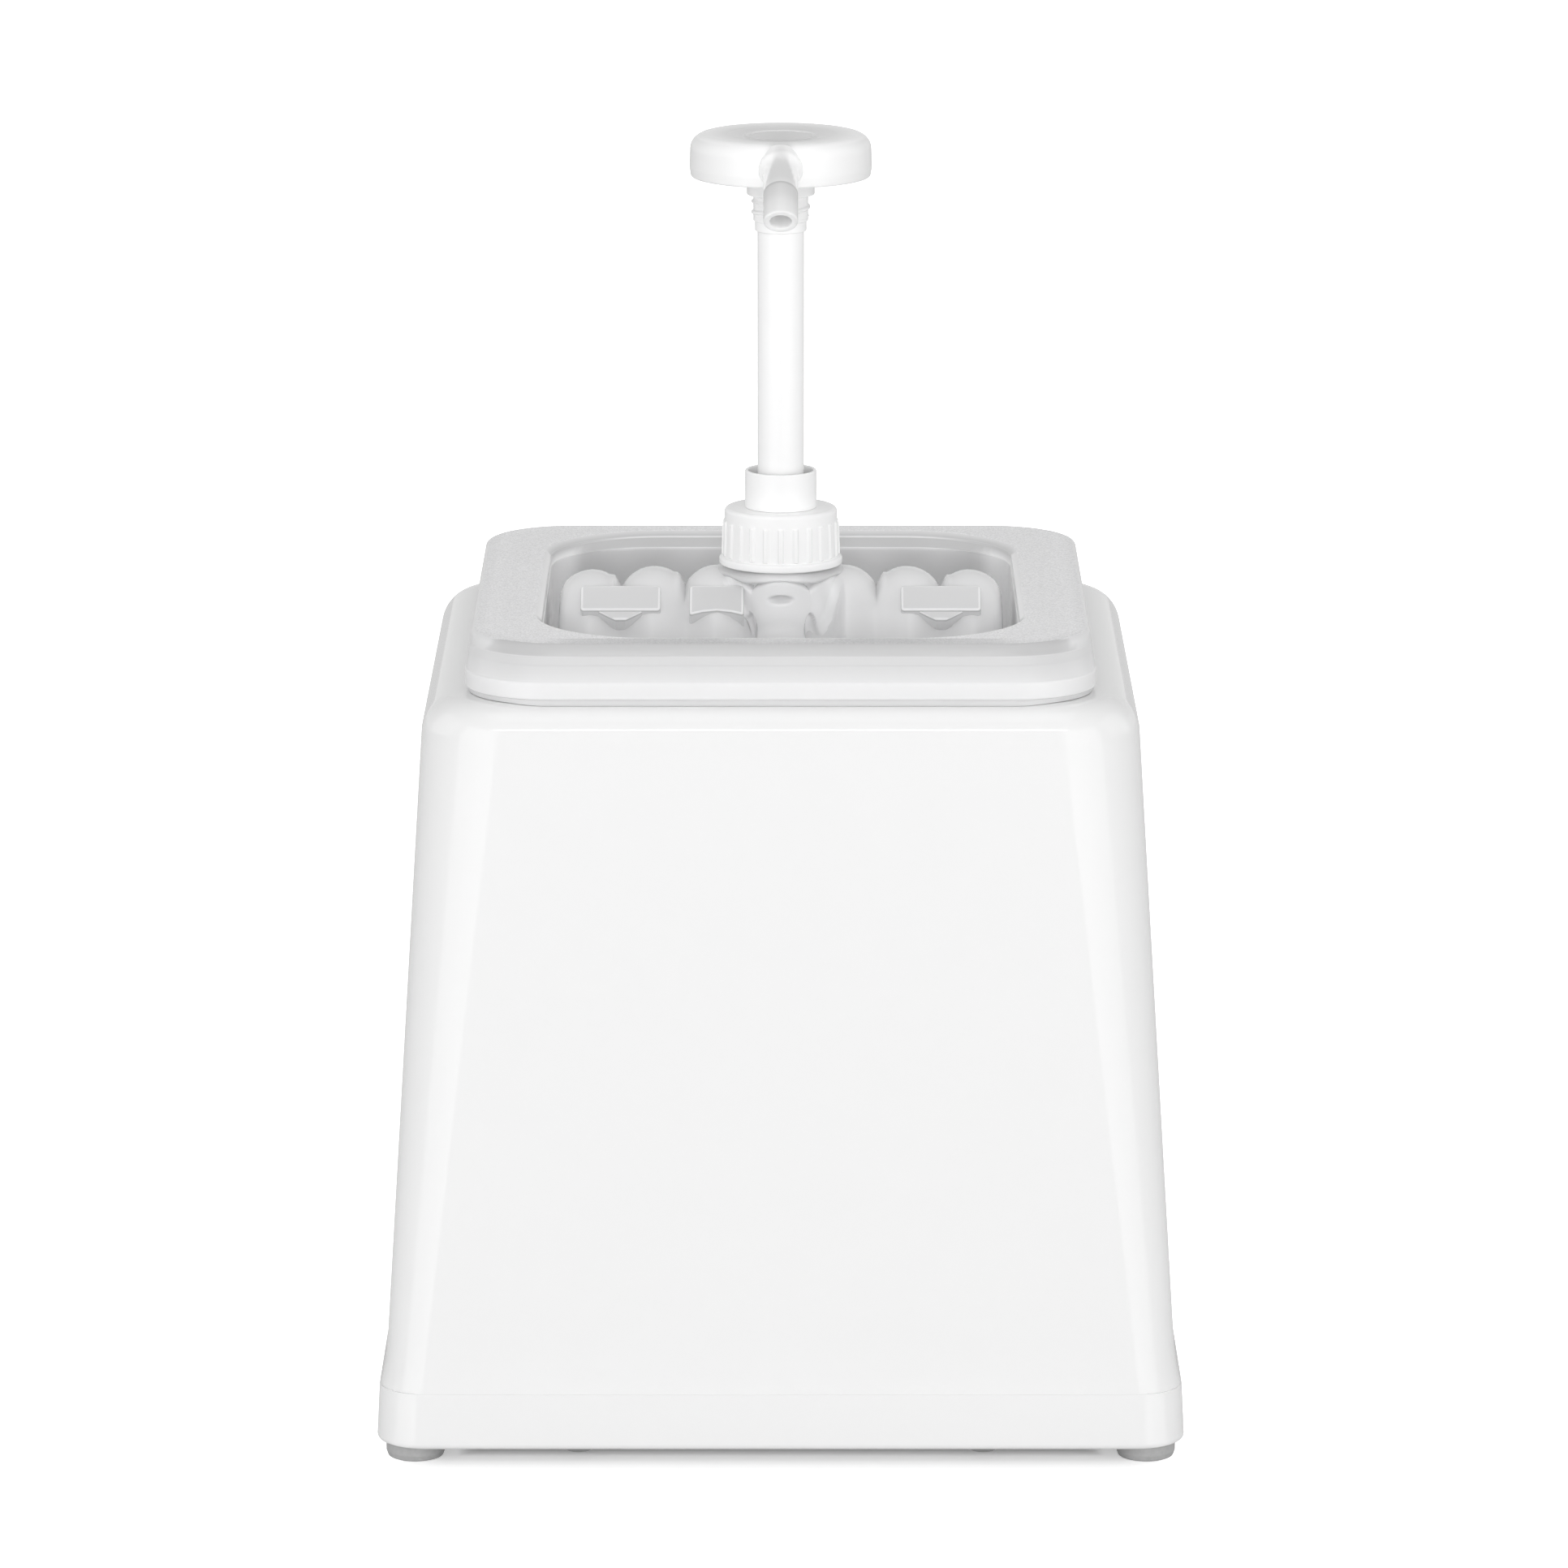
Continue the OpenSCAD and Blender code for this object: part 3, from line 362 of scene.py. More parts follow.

# outlines are half width, front, back and corner; runs are where a painted tone of light or shade begins and where it
# is full
topFrame = {"lip": (85.5, 90.8, 90.8, 22.0), "lipGap": 0.1, "lipHeight": 6.0, "cut": 1.0, "cutTop": 1.6,
            "apronFoot": (85.2, 90.3, 90.5, 22.0), "apronRise": 0.4, "apronLine": (84.7, 86.8, 90.0, 22.6),
            "lineDrop": 5.4, "apronTop": (84.4, 84.5, 89.7, 23.4), "apronDrop": 3.4, "top": (84.0, 82.6, 89.3, 24.0),
            "mouthTop": (66.9, 75.2, 82.0, 33.0), "mouthLine": (65.3, 74.9, 78.6, 31.5), "mouthDrop": 1.35,
            "mouth": (65.0, 73.5, 73.5, 29.0), "step": 1.0, "stepDrop": 3.4, "skirt": 2.5, "skirtFoot": 192.3,
            "rim": (77.5, 82.8, 82.8, 14.0), "rimFoot": 204.3, "thick": 2.5, "wallPaintedShade": 0.73, "lineHighlight": 1.02,
            "sidePaintedLight": 1.14, "bandPaintedShade": 0.64, "hiddenTone": 0.9, "lineEnd": (42.0, 56.0), "sideX": (63.5, 64.9),
            "sideBack": (50, 47), "sideFront": (-46, -43), "cornerX": (55, 61), "cornerY": (30, 45),
            "edgeX": (66, 50), "edgeY": (-74.6, -76.2), "bandX": (84.0, 74.0), "bandY": (-60, -78)}


def buildFrame(s):
    # outlines from the lip over the apron, the steep band and the flat top, down the stepped mouth and back under
    # the top, each with a tone that paints light and shade on the one plastic: painted shade under the lip, on the
    # apron and its line, at the top's outer edge, on the mouth's walls and inside, painted highlight lines in the
    # mouth, and the lip painted lighter for light coming through where it is thin over the white housing
    top, lipFoot = span("top_frame")[1][2], span("housing_shell")[1][2] + s["lipGap"]
    names = ("lip", "apronLine", "apronTop", "top", "mouthTop", "mouthLine", "mouth", "rim")
    lip, line, apron, level, mouthTop, mouthLine, mouth, rim = (np.array(s[name]) for name in names)
    thick, step, skirt = s["thick"], s["step"], s["skirt"]
    lipTop, cutTop = lipFoot + s["lipHeight"], lipFoot + s["cutTop"]
    under, ledge = top - thick, top - s["stepDrop"]
    lineZ, apronZ, mouthZ = top - s["lineDrop"], top - s["apronDrop"], top - s["mouthDrop"]
    mouthShade, highlight, hidden = s["wallPaintedShade"], s["lineHighlight"], s["hiddenTone"]
    keys = [(lip - s["cut"], 0.90, lipFoot, 0.2), (lip - s["cut"], 0.90, cutTop - 0.3, 0.2),
            (lip, 0.97, cutTop, 0.5), (lip, 0.97, lipTop, 0.8),
            (s["apronFoot"], 0.91, lipTop + s["apronRise"], 0.4), (line, 0.83, lineZ, 0.3),
            (line - (0, 0.4, 0, 0), 0.83, lineZ + 0.25, 0.2), (apron, 0.84, apronZ, 0.3),
            (apron - (0.05, 0.15, 0, 0), 0.84, apronZ + 0.35, 0), (level, 0.87, top, 2.0),
            (level - (4.4, 4.4, 2, 4), 1.0, top, 0), (level - (6.4, 6.4, 4, 6), 1.0, top, 0), (mouthTop, 1.0, top, 0.3),
            (mouthLine + (0.1, 0, 0.4, 0), mouthShade, mouthZ + 0.3, 0.1), (mouthLine, highlight, mouthZ, 0.1),
            (mouthLine - (0, 0, 0.3, 0), mouthShade, mouthZ - 0.3, 0.1),
            (mouth + (0.2, step, step, step), mouthShade, ledge, 0.3), (mouth, highlight, ledge - 0.1, 0.2),
            (mouth, mouthShade + 0.06, ledge - 1.0, 0), (mouth, hidden, s["skirtFoot"], 0.6),
            (mouth + skirt, hidden, s["skirtFoot"], 0.6), (mouth + skirt, hidden, under - skirt, 0.4),
            (rim - thick, hidden, under, 0.4), (rim - thick, hidden, s["rimFoot"], 0.4),
            (rim, hidden, s["rimFoot"], 0.4), (rim, hidden, under - 2.0, 0.4),
            (lip - thick, hidden, lipTop - 0.6, 0.4), (lip - thick, hidden, lipFoot, 0.4)]
    rows = filletKeys([[*outline, tone, z, fillet] for outline, tone, z, fillet in keys], 6)
    grid = cornerRings(*rows[:, [0, 1, 2, 3, 5]].T)

    # the lip's foot follows the housing's round shoulder
    shoulder = housing["shoulder"]
    reach = np.maximum(np.abs(grid[..., 0]), np.abs(grid[..., 1]))
    past = np.clip(reach - housing["shoulderHalf"] + shoulder, 0, shoulder)
    fall = shoulder - np.sqrt(shoulder ** 2 - past ** 2)
    grid[..., 2] -= unit((cutTop - grid[..., 2]) / 1.2) * fall * (grid[..., 2] > lipFoot - 0.01)

    # painted light and shade: the mouth's painted highlight lines end before its corners, its side walls and back
    # corners are painted light, and the top's front edge and the steep band in front are painted with a dark band of
    # shade
    x, y, z = np.abs(grid[..., 0]), grid[..., 1], grid[..., 2]
    tones = np.repeat(rows[:, 4:5], grid.shape[1], 1)
    inMouth = (x < mouthTop[0]) & (y > -mouthTop[1]) & (y < mouthTop[2]) & (z < top - 0.2)
    tones -= (tones - mouthShade) * (inMouth & (tones > mouthShade + 0.1) & (z > ledge - 0.6)) * ramp(x, *s["lineEnd"])
    sideLit = inMouth * ramp(x, *s["sideX"]) * ramp(y, *s["sideBack"]) * ramp(y, *s["sideFront"])
    tones += (s["sidePaintedLight"] - tones) * sideLit
    cornerLit = inMouth * (z < mouthZ - 0.4) * ramp(x, *s["cornerX"]) * ramp(y, *s["cornerY"])
    tones += (s["sidePaintedLight"] - tones) * cornerLit
    flatTop = z > top - 0.05
    edge = flatTop * ramp(y, *s["edgeY"]) * ramp(x, *s["edgeX"])
    steep = ~flatTop & (z > apronZ + 0.2) & (y < -mouthTop[1] - 0.1)
    shadeBand = np.maximum(edge, steep * ramp(y, *s["bandY"]) * ramp(x, *s["bandX"]))
    tones += (s["bandPaintedShade"] - tones) * shadeBand
    makePiece("topFrame", [skin(grid, closeRows=True)], "top_frame", looks["frame_plastic"], tones=[tones])


buildFrame(topFrame)

# recess runs are where it begins and where it is full; painted shade of roof and wall goes by height, darker lower down
canister = {"half": (61.5, 70.0), "corner": 20.5, "ridge": 227.2, "ridgeRadius": 22.0, "slope": 36.0, "ribs": 7,
            "pitch": 17.7, "depth": 5.3, "fadeRun": (5.0, 15.0), "fade": 0.62, "crown": 2.2, "edge": 2.4,
            "nub": 0.9, "nubShift": 1.9, "nubHalf": 0.75, "nubReach": 9.0, "nubEnd": 55.0, "footRound": 4.0,
            "recess": 8.0, "recessX": ((18, 14), (-12, -6)), "recessY": ((7, 14), (42, 28)), "well": 11.2,
            "wellFoot": 2.5, "roofPaintedShade": ((219, 224), (0.94, 1.0)), "wallPaintedShade": ((185, 200), (0.92, 1.15)), "lobes": 6,
            "lobeRadius": 9.5, "lobeFill": 0.55, "towerRadius": 17.35, "core": 14.4, "flare": 2.6, "flareLift": 3.2,
            "arch": (1.9, 216.8), "archSink": 1.6, "dimple": (3.2, 1.15, 220.9), "dimpleSink": 1.5,
            "dimpleHighlight": (3.0, 0.5, 219.5), "ringTop": 227.9, "ringThick": 2.0, "ringRadius": 18.1, "neckRadius": 12.2,
            "neckBore": 10.8, "thread": 0.8, "threadPitch": 4.0,
            "plates": ((-44.25, 22.1), (-17.7, 15.0), (44.25, 22.1)), "plateStart": -0.8, "plateLength": 9.4,
            "plateRise": 1.0, "platePaintedShade": 0.84, "plateArch": 1.8, "webInset": 7.0, "webLength": 4.0}


def roofZ(s, x, y):
    # circular ribs side by side, carried over a rounded ridge and down two slopes, with narrow nubs on the ridge and
    # a recess before and behind the tower
    pitch, radius, slope, away = s["pitch"], s["ridgeRadius"], np.radians(s["slope"]), np.abs(y)
    ribRadius = (pitch ** 2 / 4 + s["depth"] ** 2) / (2 * s["depth"])
    offset = (x + pitch / 2) % pitch - pitch / 2
    sharp = radius - ribRadius + np.sqrt(ribRadius ** 2 - offset ** 2)
    soft = radius - s["depth"] * (0.5 - 0.5 * np.cos(2 * np.pi * offset / pitch)) * s["fade"]
    reach = sharp + (soft - sharp) * ramp(away, *s["fadeRun"])
    arch = np.sqrt(np.maximum(reach ** 2 - away ** 2, 0))
    fall = (reach - away * np.sin(slope)) / np.cos(slope)
    crown = s["crown"] * np.abs(x / s["half"][0]) ** 3
    beside = (np.abs(x) - s["nubShift"]) % pitch - pitch / 2
    nub = s["nub"] * np.exp(-(beside / s["nubHalf"]) ** 2 - (away / s["nubReach"]) ** 4) * (np.abs(x) < s["nubEnd"])
    runs = [ramp(x, *run) for run in s["recessX"]] + [ramp(away, *run) for run in s["recessY"]]
    recess = s["recess"] * np.prod(runs, 0)
    return s["ridge"] - radius - crown + nub - recess + np.where(away < reach * np.sin(slope), arch, fall)


def edgeDrop(s, x, y):
    # quarter circle over the distance from the plan outline
    qx, qy = (np.abs(v) - half + s["corner"] for v, half in zip((x, y), s["half"]))
    inside = s["corner"] - np.hypot(np.maximum(qx, 0), np.maximum(qy, 0)) - np.minimum(np.maximum(qx, qy), 0)
    near = unit(1 - inside / s["edge"])
    return s["edge"] * (1 - np.sqrt(1 - near ** 2))


def canisterBody(s, floor):
    # height field over the plan with a round well for the pump; its outline goes down to a rounded foot and is closed
    # in the middle
    halfX, halfY = s["half"]
    columns = np.linspace(-1, 1, s["ribs"] * 36 + 1) * s["pitch"] * s["ribs"] / 2
    columns = np.clip(columns, -halfX, halfX)
    even = np.linspace(-1, 1, 141)
    y = halfY * (0.7 * even + 0.3 * np.sin(even * np.pi / 2))
    over = np.maximum(np.abs(y) - halfY + s["corner"], 0)
    width = halfX - s["corner"] + np.sqrt(np.maximum(s["corner"] ** 2 - over ** 2, 0))
    x = columns[None, :] * (width / halfX)[:, None]
    y = np.repeat(y[:, None], x.shape[1], 1)
    z = np.where(np.hypot(x, y) < s["well"] + 0.2, floor + s["wellFoot"], roofZ(s, x, y) - edgeDrop(s, x, y))
    roof = np.stack([x, y, z], -1)
    loop = np.concatenate([roof[0], roof[1:-1, -1], roof[-1, ::-1], roof[-2:0:-1, 0]])
    levels = [loop]
    for share in (0.03, 0.5, 0.97):
        level = loop.copy()
        level[:, 2] = loop[:, 2] + (floor + s["footRound"] - loop[:, 2]) * share
        levels.append(level)
    for angle in np.radians(np.linspace(0, 90, 7)):
        inset = s["footRound"] * (1 - np.cos(angle))
        level = loop * np.array([1 - inset / halfX, 1 - inset / halfY, 0])
        level[:, 2] = floor + s["footRound"] * (1 - np.sin(angle))
        levels.append(level)
    levels.append(loop * 0 + np.array([0, 0, floor]))
    sides = np.stack(levels)
    centre = (0, 0, (floor + s["ridge"]) / 2)
    # tones by height: painted shade, darker low on the roof and walls, the walls painted lighter high up
    return [(skin(roof, centre, closeCols=False), np.interp(z, *s["roofPaintedShade"])),
            (skin(sides, centre), np.interp(sides[..., 2], *s["wallPaintedShade"]))]


def canisterTower(s):
    # six round lobes softly joined, domed in under the ring; at the foot the walls bend out into the ribs and a small
    # arch opens where a valley meets two lobes
    theta = turnSteps(360)
    lobeStep = 2 * np.pi / s["lobes"]
    off = (theta + np.pi / 2 + lobeStep / 2) % lobeStep - lobeStep / 2
    away = s["towerRadius"] - s["lobeRadius"]
    lobed = away * np.cos(off) + np.sqrt(s["lobeRadius"] ** 2 - (away * np.sin(off)) ** 2)
    lobed = lobed + (s["towerRadius"] - 0.2 - lobed) * s["lobeFill"]
    ringFoot = s["ringTop"] - s["ringThick"]
    wallFoot = roofZ(s, lobed * np.cos(theta), lobed * np.sin(theta))
    lift = np.clip((ringFoot - wallFoot) / 2, 0, s["flareLift"])
    side = (np.abs(off) - lobeStep / 2) * s["towerRadius"]
    rows, tones = [], []

    def spot(x, z, size, power):
        # oval patch on the front
        wide, tall, middle = size
        return np.exp(-((x / wide) ** 2 + ((z - middle) / tall) ** 2) ** power) * (np.sin(theta) < 0)

    def addRow(radius, z, dome, dented, drop=0.0):
        # tones paint light and shade: the cusps between the lobes under the ring painted a little lighter, painted
        # shade in the oval dimple in front with a painted highlight below it, painted sheen streaks on the side lobes,
        # the arches painted light with dark outlines of painted shade, and the whole tower a little lighter; the dimple
        # and the arches also sink the wall
        x = radius * np.cos(theta)
        inArch = np.exp(-(side / s["arch"][0]) ** 4) * unit((s["arch"][1] - 0.8 * side ** 2 - z) / 0.9)
        cuspLight = unit((np.abs(off) / (lobeStep / 2) - 0.5) / 0.35) * unit(dome * 1.6)
        dent, lip = spot(x, z, s["dimple"], 3), spot(x, z, s["dimpleHighlight"], 2)
        sheenStreak = 0.05 * np.cos(14 * theta + 0.35 * z) * unit(np.abs(x) / 6 - 1.4)
        outline = 0.10 * inArch - 0.9 * inArch * (1 - inArch)
        tones.append(1.04 + sheenStreak + 0.08 * cuspLight - 0.20 * dent + 0.06 * lip + outline)
        radius = radius - s["dimpleSink"] * dent * dented - s["archSink"] * inArch
        rows.append(np.stack([radius * np.cos(theta), radius * np.sin(theta), z - drop], -1))

    for angle in np.radians(np.linspace(0, 90, 9)):
        radius = lobed + s["flare"] * (1 - np.sin(angle))
        foot = roofZ(s, radius * np.cos(theta), radius * np.sin(theta))
        addRow(radius, foot + lift * (1 - np.cos(angle)), 0, False, 0.05)
    start = rows[-1][:, 2]
    for share in np.linspace(0, 1, 56)[1:]:
        z = start + (ringFoot + 0.3 - start) * share
        domeFoot = ringFoot - 1.0 - 3.4 * np.abs(off / (lobeStep / 2)) ** 2.5
        dome = unit((z - domeFoot) / 2.0)
        addRow(lobed - (lobed - s["core"]) * (1 - np.sqrt(1 - dome ** 2)), z, dome, True)
    for z in (ringFoot + 0.3, s["ridge"] - s["ridgeRadius"]):
        rows.append(np.stack([s["well"] * np.cos(theta), s["well"] * np.sin(theta), z + 0 * theta], -1))
        tones.append(1 + 0 * theta)
    return [(skin(np.stack(rows), closeRows=True), np.stack(tones))]


def canisterRing(s):
    # ring under the cap: a sloping hexagon with soft points between the lobes
    foot, top, radius, inner = s["ringTop"] - s["ringThick"], s["ringTop"] + 0.1, s["ringRadius"], s["core"] - 3
    wave = (1 - np.cos(s["lobes"] * (turnSteps(360) + np.pi / 2))) / 2
    profile = filletKeys([[inner, foot + 0.3, 0], [radius - 0.6, foot, 0.3], [radius, foot + 0.5, 0.3],
                          [radius - 0.5, foot + 1.0, 0.5], [s["core"] + 0.8, top, 0.4], [inner, top, 0]], 5)
    ring = lathe(profile, 360)
    outer = unit((profile[:, :1] - s["core"]) / (radius - s["core"]))
    swell(ring, 1 + outer * (wave - 0.5) * 0.07)
    lowEdge = unit((foot + 1.2 - profile[:, 1:]) / 1.2)
    ring[..., 2] -= lowEdge * outer * wave * 0.9
    # painted shade: the ring darker but for a lighter band across its middle, front and back, with painted highlights
    # on its low points
    tone = 0.80 + 0.2 * np.exp(-(ring[..., 0] / 6.5) ** 4) + 0.1 * lowEdge * wave ** 6
    return [(skin(ring, closeRows=True), tone)]


def canisterNeck(s, top):
    # tube with a thread on its outside
    radius, bore, foot = s["neckRadius"], s["neckBore"], s["ringTop"]
    profile = filletKeys([[bore, foot - 2, 0], [radius, foot - 2, 0], [radius, top, 0.5], [bore, top, 0.4]], 4)
    steps = np.linspace(foot + 0.4, top - 1.0, 40)
    cut = np.argmax(profile[:, 1] > foot)
    outside = np.stack([np.full_like(steps, radius), steps], -1)
    profile = np.concatenate([profile[:cut], outside, profile[cut:]])
    neck = lathe(profile, 160)
    crest = threadRidge(neck[..., 2], s, foot, foot + 0.4, top - 1, 0.8, 1.6)
    swell(neck, 1 + crest * (profile[:, :1] > radius - 0.01) / radius)
    return [(skin(neck, closeRows=True), np.ones(neck.shape[:2]))]


def canisterPlates(s):
    # bare raised plates on the front slope: bevelled slabs set square to the slope
    slope = np.radians(s["slope"])
    normal = np.array([0, -np.sin(slope), np.cos(slope)])
    down = np.array([0, -np.cos(slope), -np.sin(slope)])
    inset = np.array([0, 0, 0, 0, 0.15, 0.5, 0.8])
    height = s["ridgeRadius"] + s["plateRise"] - np.array([7, 4, 1.0, 0.5, 0.2, 0, 0])
    # row tones paint light and shade: painted shade along the foot, a painted highlight on the upper bevel, and the
    # face painted a little darker
    edge = np.array([0.92, 0.92, 0.90, 0.62, 1.10, 1.08, s["platePaintedShade"]])

    def slab(middle, wide, start, length, level, narrow=0.0, arch=0.0):
        # the width narrows towards the lower end, which rises in the middle as a parabola
        half = length / 2 - inset
        grid = cornerRings(wide / 2 - inset, half, half, 1.0 - inset, level, 5)
        lower = 0.5 - grid[..., 1] / length
        grid[..., 1] += arch * (1 - (2 * grid[..., 0] / wide) ** 2) * unit(2 * lower - 1)
        grid[..., 0] *= 1 - narrow * lower
        place = (np.array([middle, 0, s["ridge"] - s["ridgeRadius"]]) + grid[..., :1] * np.array([1, 0, 0])
                 + (start + length / 2 - grid[..., 1:2]) * down + grid[..., 2:] * normal)
        return (skin(capped(place), place.mean((0, 1))),
                np.repeat(np.concatenate([edge[:1], edge, edge[-1:]]), grid.shape[1]))

    start, length, arch = s["plateStart"], s["plateLength"], s["plateArch"]
    slabs = []
    for middle, wide in s["plates"]:
        if wide > 20:
            web = start + length - 1.0
            slabs += [slab(middle, wide, start, length, height),
                      slab(middle, wide - s["webInset"], web, s["webLength"], height - 0.6, narrow=0.8)]
        else:
            slabs.append(slab(middle, wide, start, length + arch, height, arch=arch))
    return slabs


def buildCanister(s):
    low, high = span("sauce_canister")
    parts = canisterBody(s, low[2]) + canisterTower(s) + canisterRing(s) + canisterNeck(s, high[2]) + canisterPlates(s)
    skins, tones = zip(*parts)
    makePiece("canister", skins, "sauce_canister", looks["canister_plastic"], 50, tones)


buildCanister(canister)

cap = {"foot": 228.2, "top": 244.0, "radius": 15.6, "taper": 0.35, "lip": 17.2, "lipHeight": 1.9, "ribs": 24,
       "ribFoot": 230.4, "ribTop": 240.6, "ribOut": 0.5, "bore": 13.6, "hole": 8.75, "roof": 2.0}


def buildCap(s):
    # profile carried round the axis; between two heights its radius swells into grip ribs, a soft square wave
    foot, top, radius, ribFoot, ribTop = (s[name] for name in ("foot", "top", "radius", "ribFoot", "ribTop"))
    under = top - s["roof"]
    keys = [[s["bore"], foot, 0.3], [s["lip"], foot, 0.6], [s["lip"] - 0.15, foot + s["lipHeight"], 0.8],
            [radius + s["taper"], ribFoot + 0.1, 0.3], [radius, top, 1.1], [s["hole"], top, 0.3],
            [s["hole"], under, 0.2], [s["bore"], under, 0.4]]
    profile = filletKeys(keys, 6)
    cut = np.argmax((profile[:, 1] > top - 3) & (profile[:, 0] > radius - 0.5))
    keep = profile[:cut, 1] < ribFoot + 0.3
    z = np.concatenate([np.linspace(ribFoot + 0.35, ribFoot + 1.2, 6), np.linspace(ribFoot + 2, ribTop - 1.2, 5),
                        np.linspace(ribTop - 1, ribTop + 0.2, 8)])
    wall = np.stack([radius + s["taper"] * (top - z) / (top - ribFoot), z], -1)
    profile = np.concatenate([profile[:cut][keep], wall, profile[cut:]])
    steps = s["ribs"] * 18
    grid = lathe(profile, steps)
    ridge = ramp(3.5 * np.cos(s["ribs"] * turnSteps(steps)), 1.3, 2.3)
    reach = unit((profile[:, 1:] - ribFoot - 0.25) / 0.3) * unit((ribTop - profile[:, 1:]) / 0.5)
    swell(grid, 1 + s["ribOut"] * ridge * reach * (profile[:, :1] > radius - 0.2) / radius)
    makePiece("screwCap", [skin(grid, closeRows=True)], "screw_cap", looks["pump_white"])


buildCap(cap)

collar = {"cup": 9.95, "cupWall": 1.0, "foot": 244.02, "top": 254.5, "floor": 246.0, "stalk": 8.45, "stalkFoot": 227.7,
          "guide": 6.6, "wiper": 7.95, "wiperDepth": 1.5}


def buildCollar(s):
    # cup, stalk and bore as one closed profile round the axis
    inner, seat = s["cup"] - s["cupWall"], s["floor"] - s["wiperDepth"]
    keys = [[s["guide"], s["stalkFoot"], 0.2], [s["stalk"], s["stalkFoot"], 0.4], [s["stalk"], s["foot"], 0.2],
            [s["cup"], s["foot"], 0.2], [s["cup"], s["top"], 0.4], [inner, s["top"], 0.4],
            [inner - 0.1, s["floor"], 0.6], [s["wiper"], s["floor"], 0.1], [s["wiper"], seat, 0.1],
            [s["guide"], seat, 0.1]]
    makePiece("lockCollar", [skin(lathe(filletKeys(keys, 5)), closeRows=True)], "lock_collar", looks["pump_white"])


buildCollar(collar)

feet = {"radius": 8.0, "soleInset": 0.6, "waist": 1.6, "bore": 1.9, "recess": 4.0, "recessTop": 2.8}


def buildFeet(s):
    # each foot is a low rounded puck with a recess for its screw, a profile round its own axis
    low, high = span("rubber_feet")
    radius, height = s["radius"], high[2]
    keys = [[s["bore"], height, 0.2], [s["bore"], s["recessTop"], 0.2], [s["recess"], s["recessTop"], 0.2],
            [s["recess"] + 0.1, 0.0, 0.4], [radius - s["soleInset"], 0.0, 0.7], [radius, s["waist"], 0.8],
            [radius, height, 0.3]]
    puck = lathe(filletKeys(keys, 5), 72)
    reach = high[0] - radius
    skins = [skin(puck + np.array([sideX * reach, sideY * reach, 0]), closeRows=True)
             for sideX in (-1, 1) for sideY in (-1, 1)]
    makePiece("rubberFeet", skins, "rubber_feet", looks["foot_rubber"])


buildFeet(feet)

# limits: by the distance along the spout's first run, how high on its side the painted shade begins
head = {"radius": 25.15, "bottom": 336.6, "top": 348.5, "edge": 5.0, "wall": 1.8, "dish": 0.8, "ring": 9.9,
        "ringDrop": 0.5, "plugTop": 345.0, "shoulder": 9.4, "shoulderFoot": 331.5, "plug": 7.6, "plugEnd": 7.15,
        "endTop": 324.2, "plugFoot": 321.4, "plugBore": 6.55, "thread": 0.55, "threadPitch": 3.0, "threadFrom": 325.1,
        "spout": 4.7, "bore": 3.0, "fairing": 1.3, "fairingFrom": 4.2, "lipRound": 0.45, "boreRound": 0.3,
        "bends": ((-20.95, 342.8), (-39.02, 336.93), (-45.38, 330.57)), "upperShade": 0.76, "lipShade": 0.90,
        "limits": ((2.0, 4.2, 8.9, 12.5, 19.0), (0.97, 0.92, 0.80, 0.68, 0.35)), "lowerLimit": -0.3}


def headDisc(s):
    # profile from the dish over the round edge and back under it, open at the axis
    top, bottom, radius, ring, wall = (s[name] for name in ("top", "bottom", "radius", "ring", "wall"))
    dish, relief = top - s["dish"], top - s["ringDrop"]
    keys = [[0, dish, 0], [ring - 1.6, dish, 0.4], [ring - 1.2, relief, 0.4], [ring - 0.2, relief, 0.4],
            [ring + 0.4, dish, 0.8], [radius - s["edge"] - 5.5, top - 0.3, 3.0], [radius - 0.35, top, s["edge"]],
            [radius, bottom + 2.8, 3.0], [radius - 0.4, bottom, 1.7], [radius - wall, bottom, 0.4],
            [radius - wall - 0.3, top - wall - 0.8, 1.6], [0, top - wall - 0.9, 0]]
    disc = lathe(filletKeys(keys, 8, False), 160)
    # painted shade: the dish darker towards its front and middle, less on the back of its ring, and the rim beside it
    # and over the spout a little darker
    x, y, z = (disc[..., n] for n in range(3))
    out = np.hypot(x, y)
    inDish = unit((radius - s["edge"] - 0.2 - out) / 1.5) * (z > top - 1.2)
    beside = unit((np.abs(x) - 9) / 15) * (z < top - 1.2)
    back = unit(y / 6) * np.exp(-((out - ring + 0.6) / 0.8) ** 2)
    paintedShade = 0.15 + 0.20 * np.exp(-(x / 11) ** 2) * unit((16 - y) / 8)
    over = np.exp(-(x / 3.2) ** 4) * unit((-y - 18) / 3) * (z > bottom + 6)
    return [(skin(disc), 1 - inDish * paintedShade * (1 - back) - 0.10 * beside - 0.22 * over)]


def headPlug(s):
    # shoulder, threaded part and plain end
    bore, plug, end, shoulder, foot = (s[name] for name in ("plugBore", "plug", "plugEnd", "shoulder", "shoulderFoot"))
    keys = [[bore, s["plugTop"], 0], [shoulder, s["plugTop"], 0], [shoulder, foot, 0.4], [plug, foot - 0.2, 0.3],
            [plug, s["endTop"], 0.3], [end, s["endTop"], 0.2], [end, s["plugFoot"], 0.3], [bore, s["plugFoot"], 0.2]]
    profile = filletKeys(keys, 4)
    start = s["threadFrom"]
    z = np.linspace(foot - 0.9, start, 36)
    cut = np.argmax(profile[:, 1] < start)
    keep = (profile[:cut, 1] > foot - 0.8) | (profile[:cut, 0] > plug + 0.5)
    profile = np.concatenate([profile[:cut][keep], np.stack([np.full_like(z, plug), z], -1), profile[cut:]])
    grid = lathe(profile, 128)
    crest = threadRidge(grid[..., 2], s, start, start, foot - 1.2, 0.6, 1.5)
    swell(grid, 1 + crest * (np.abs(profile[:, :1] - plug) < 0.02) / plug)
    return [(skin(grid, closeRows=True), np.ones(grid.shape[:2]))]


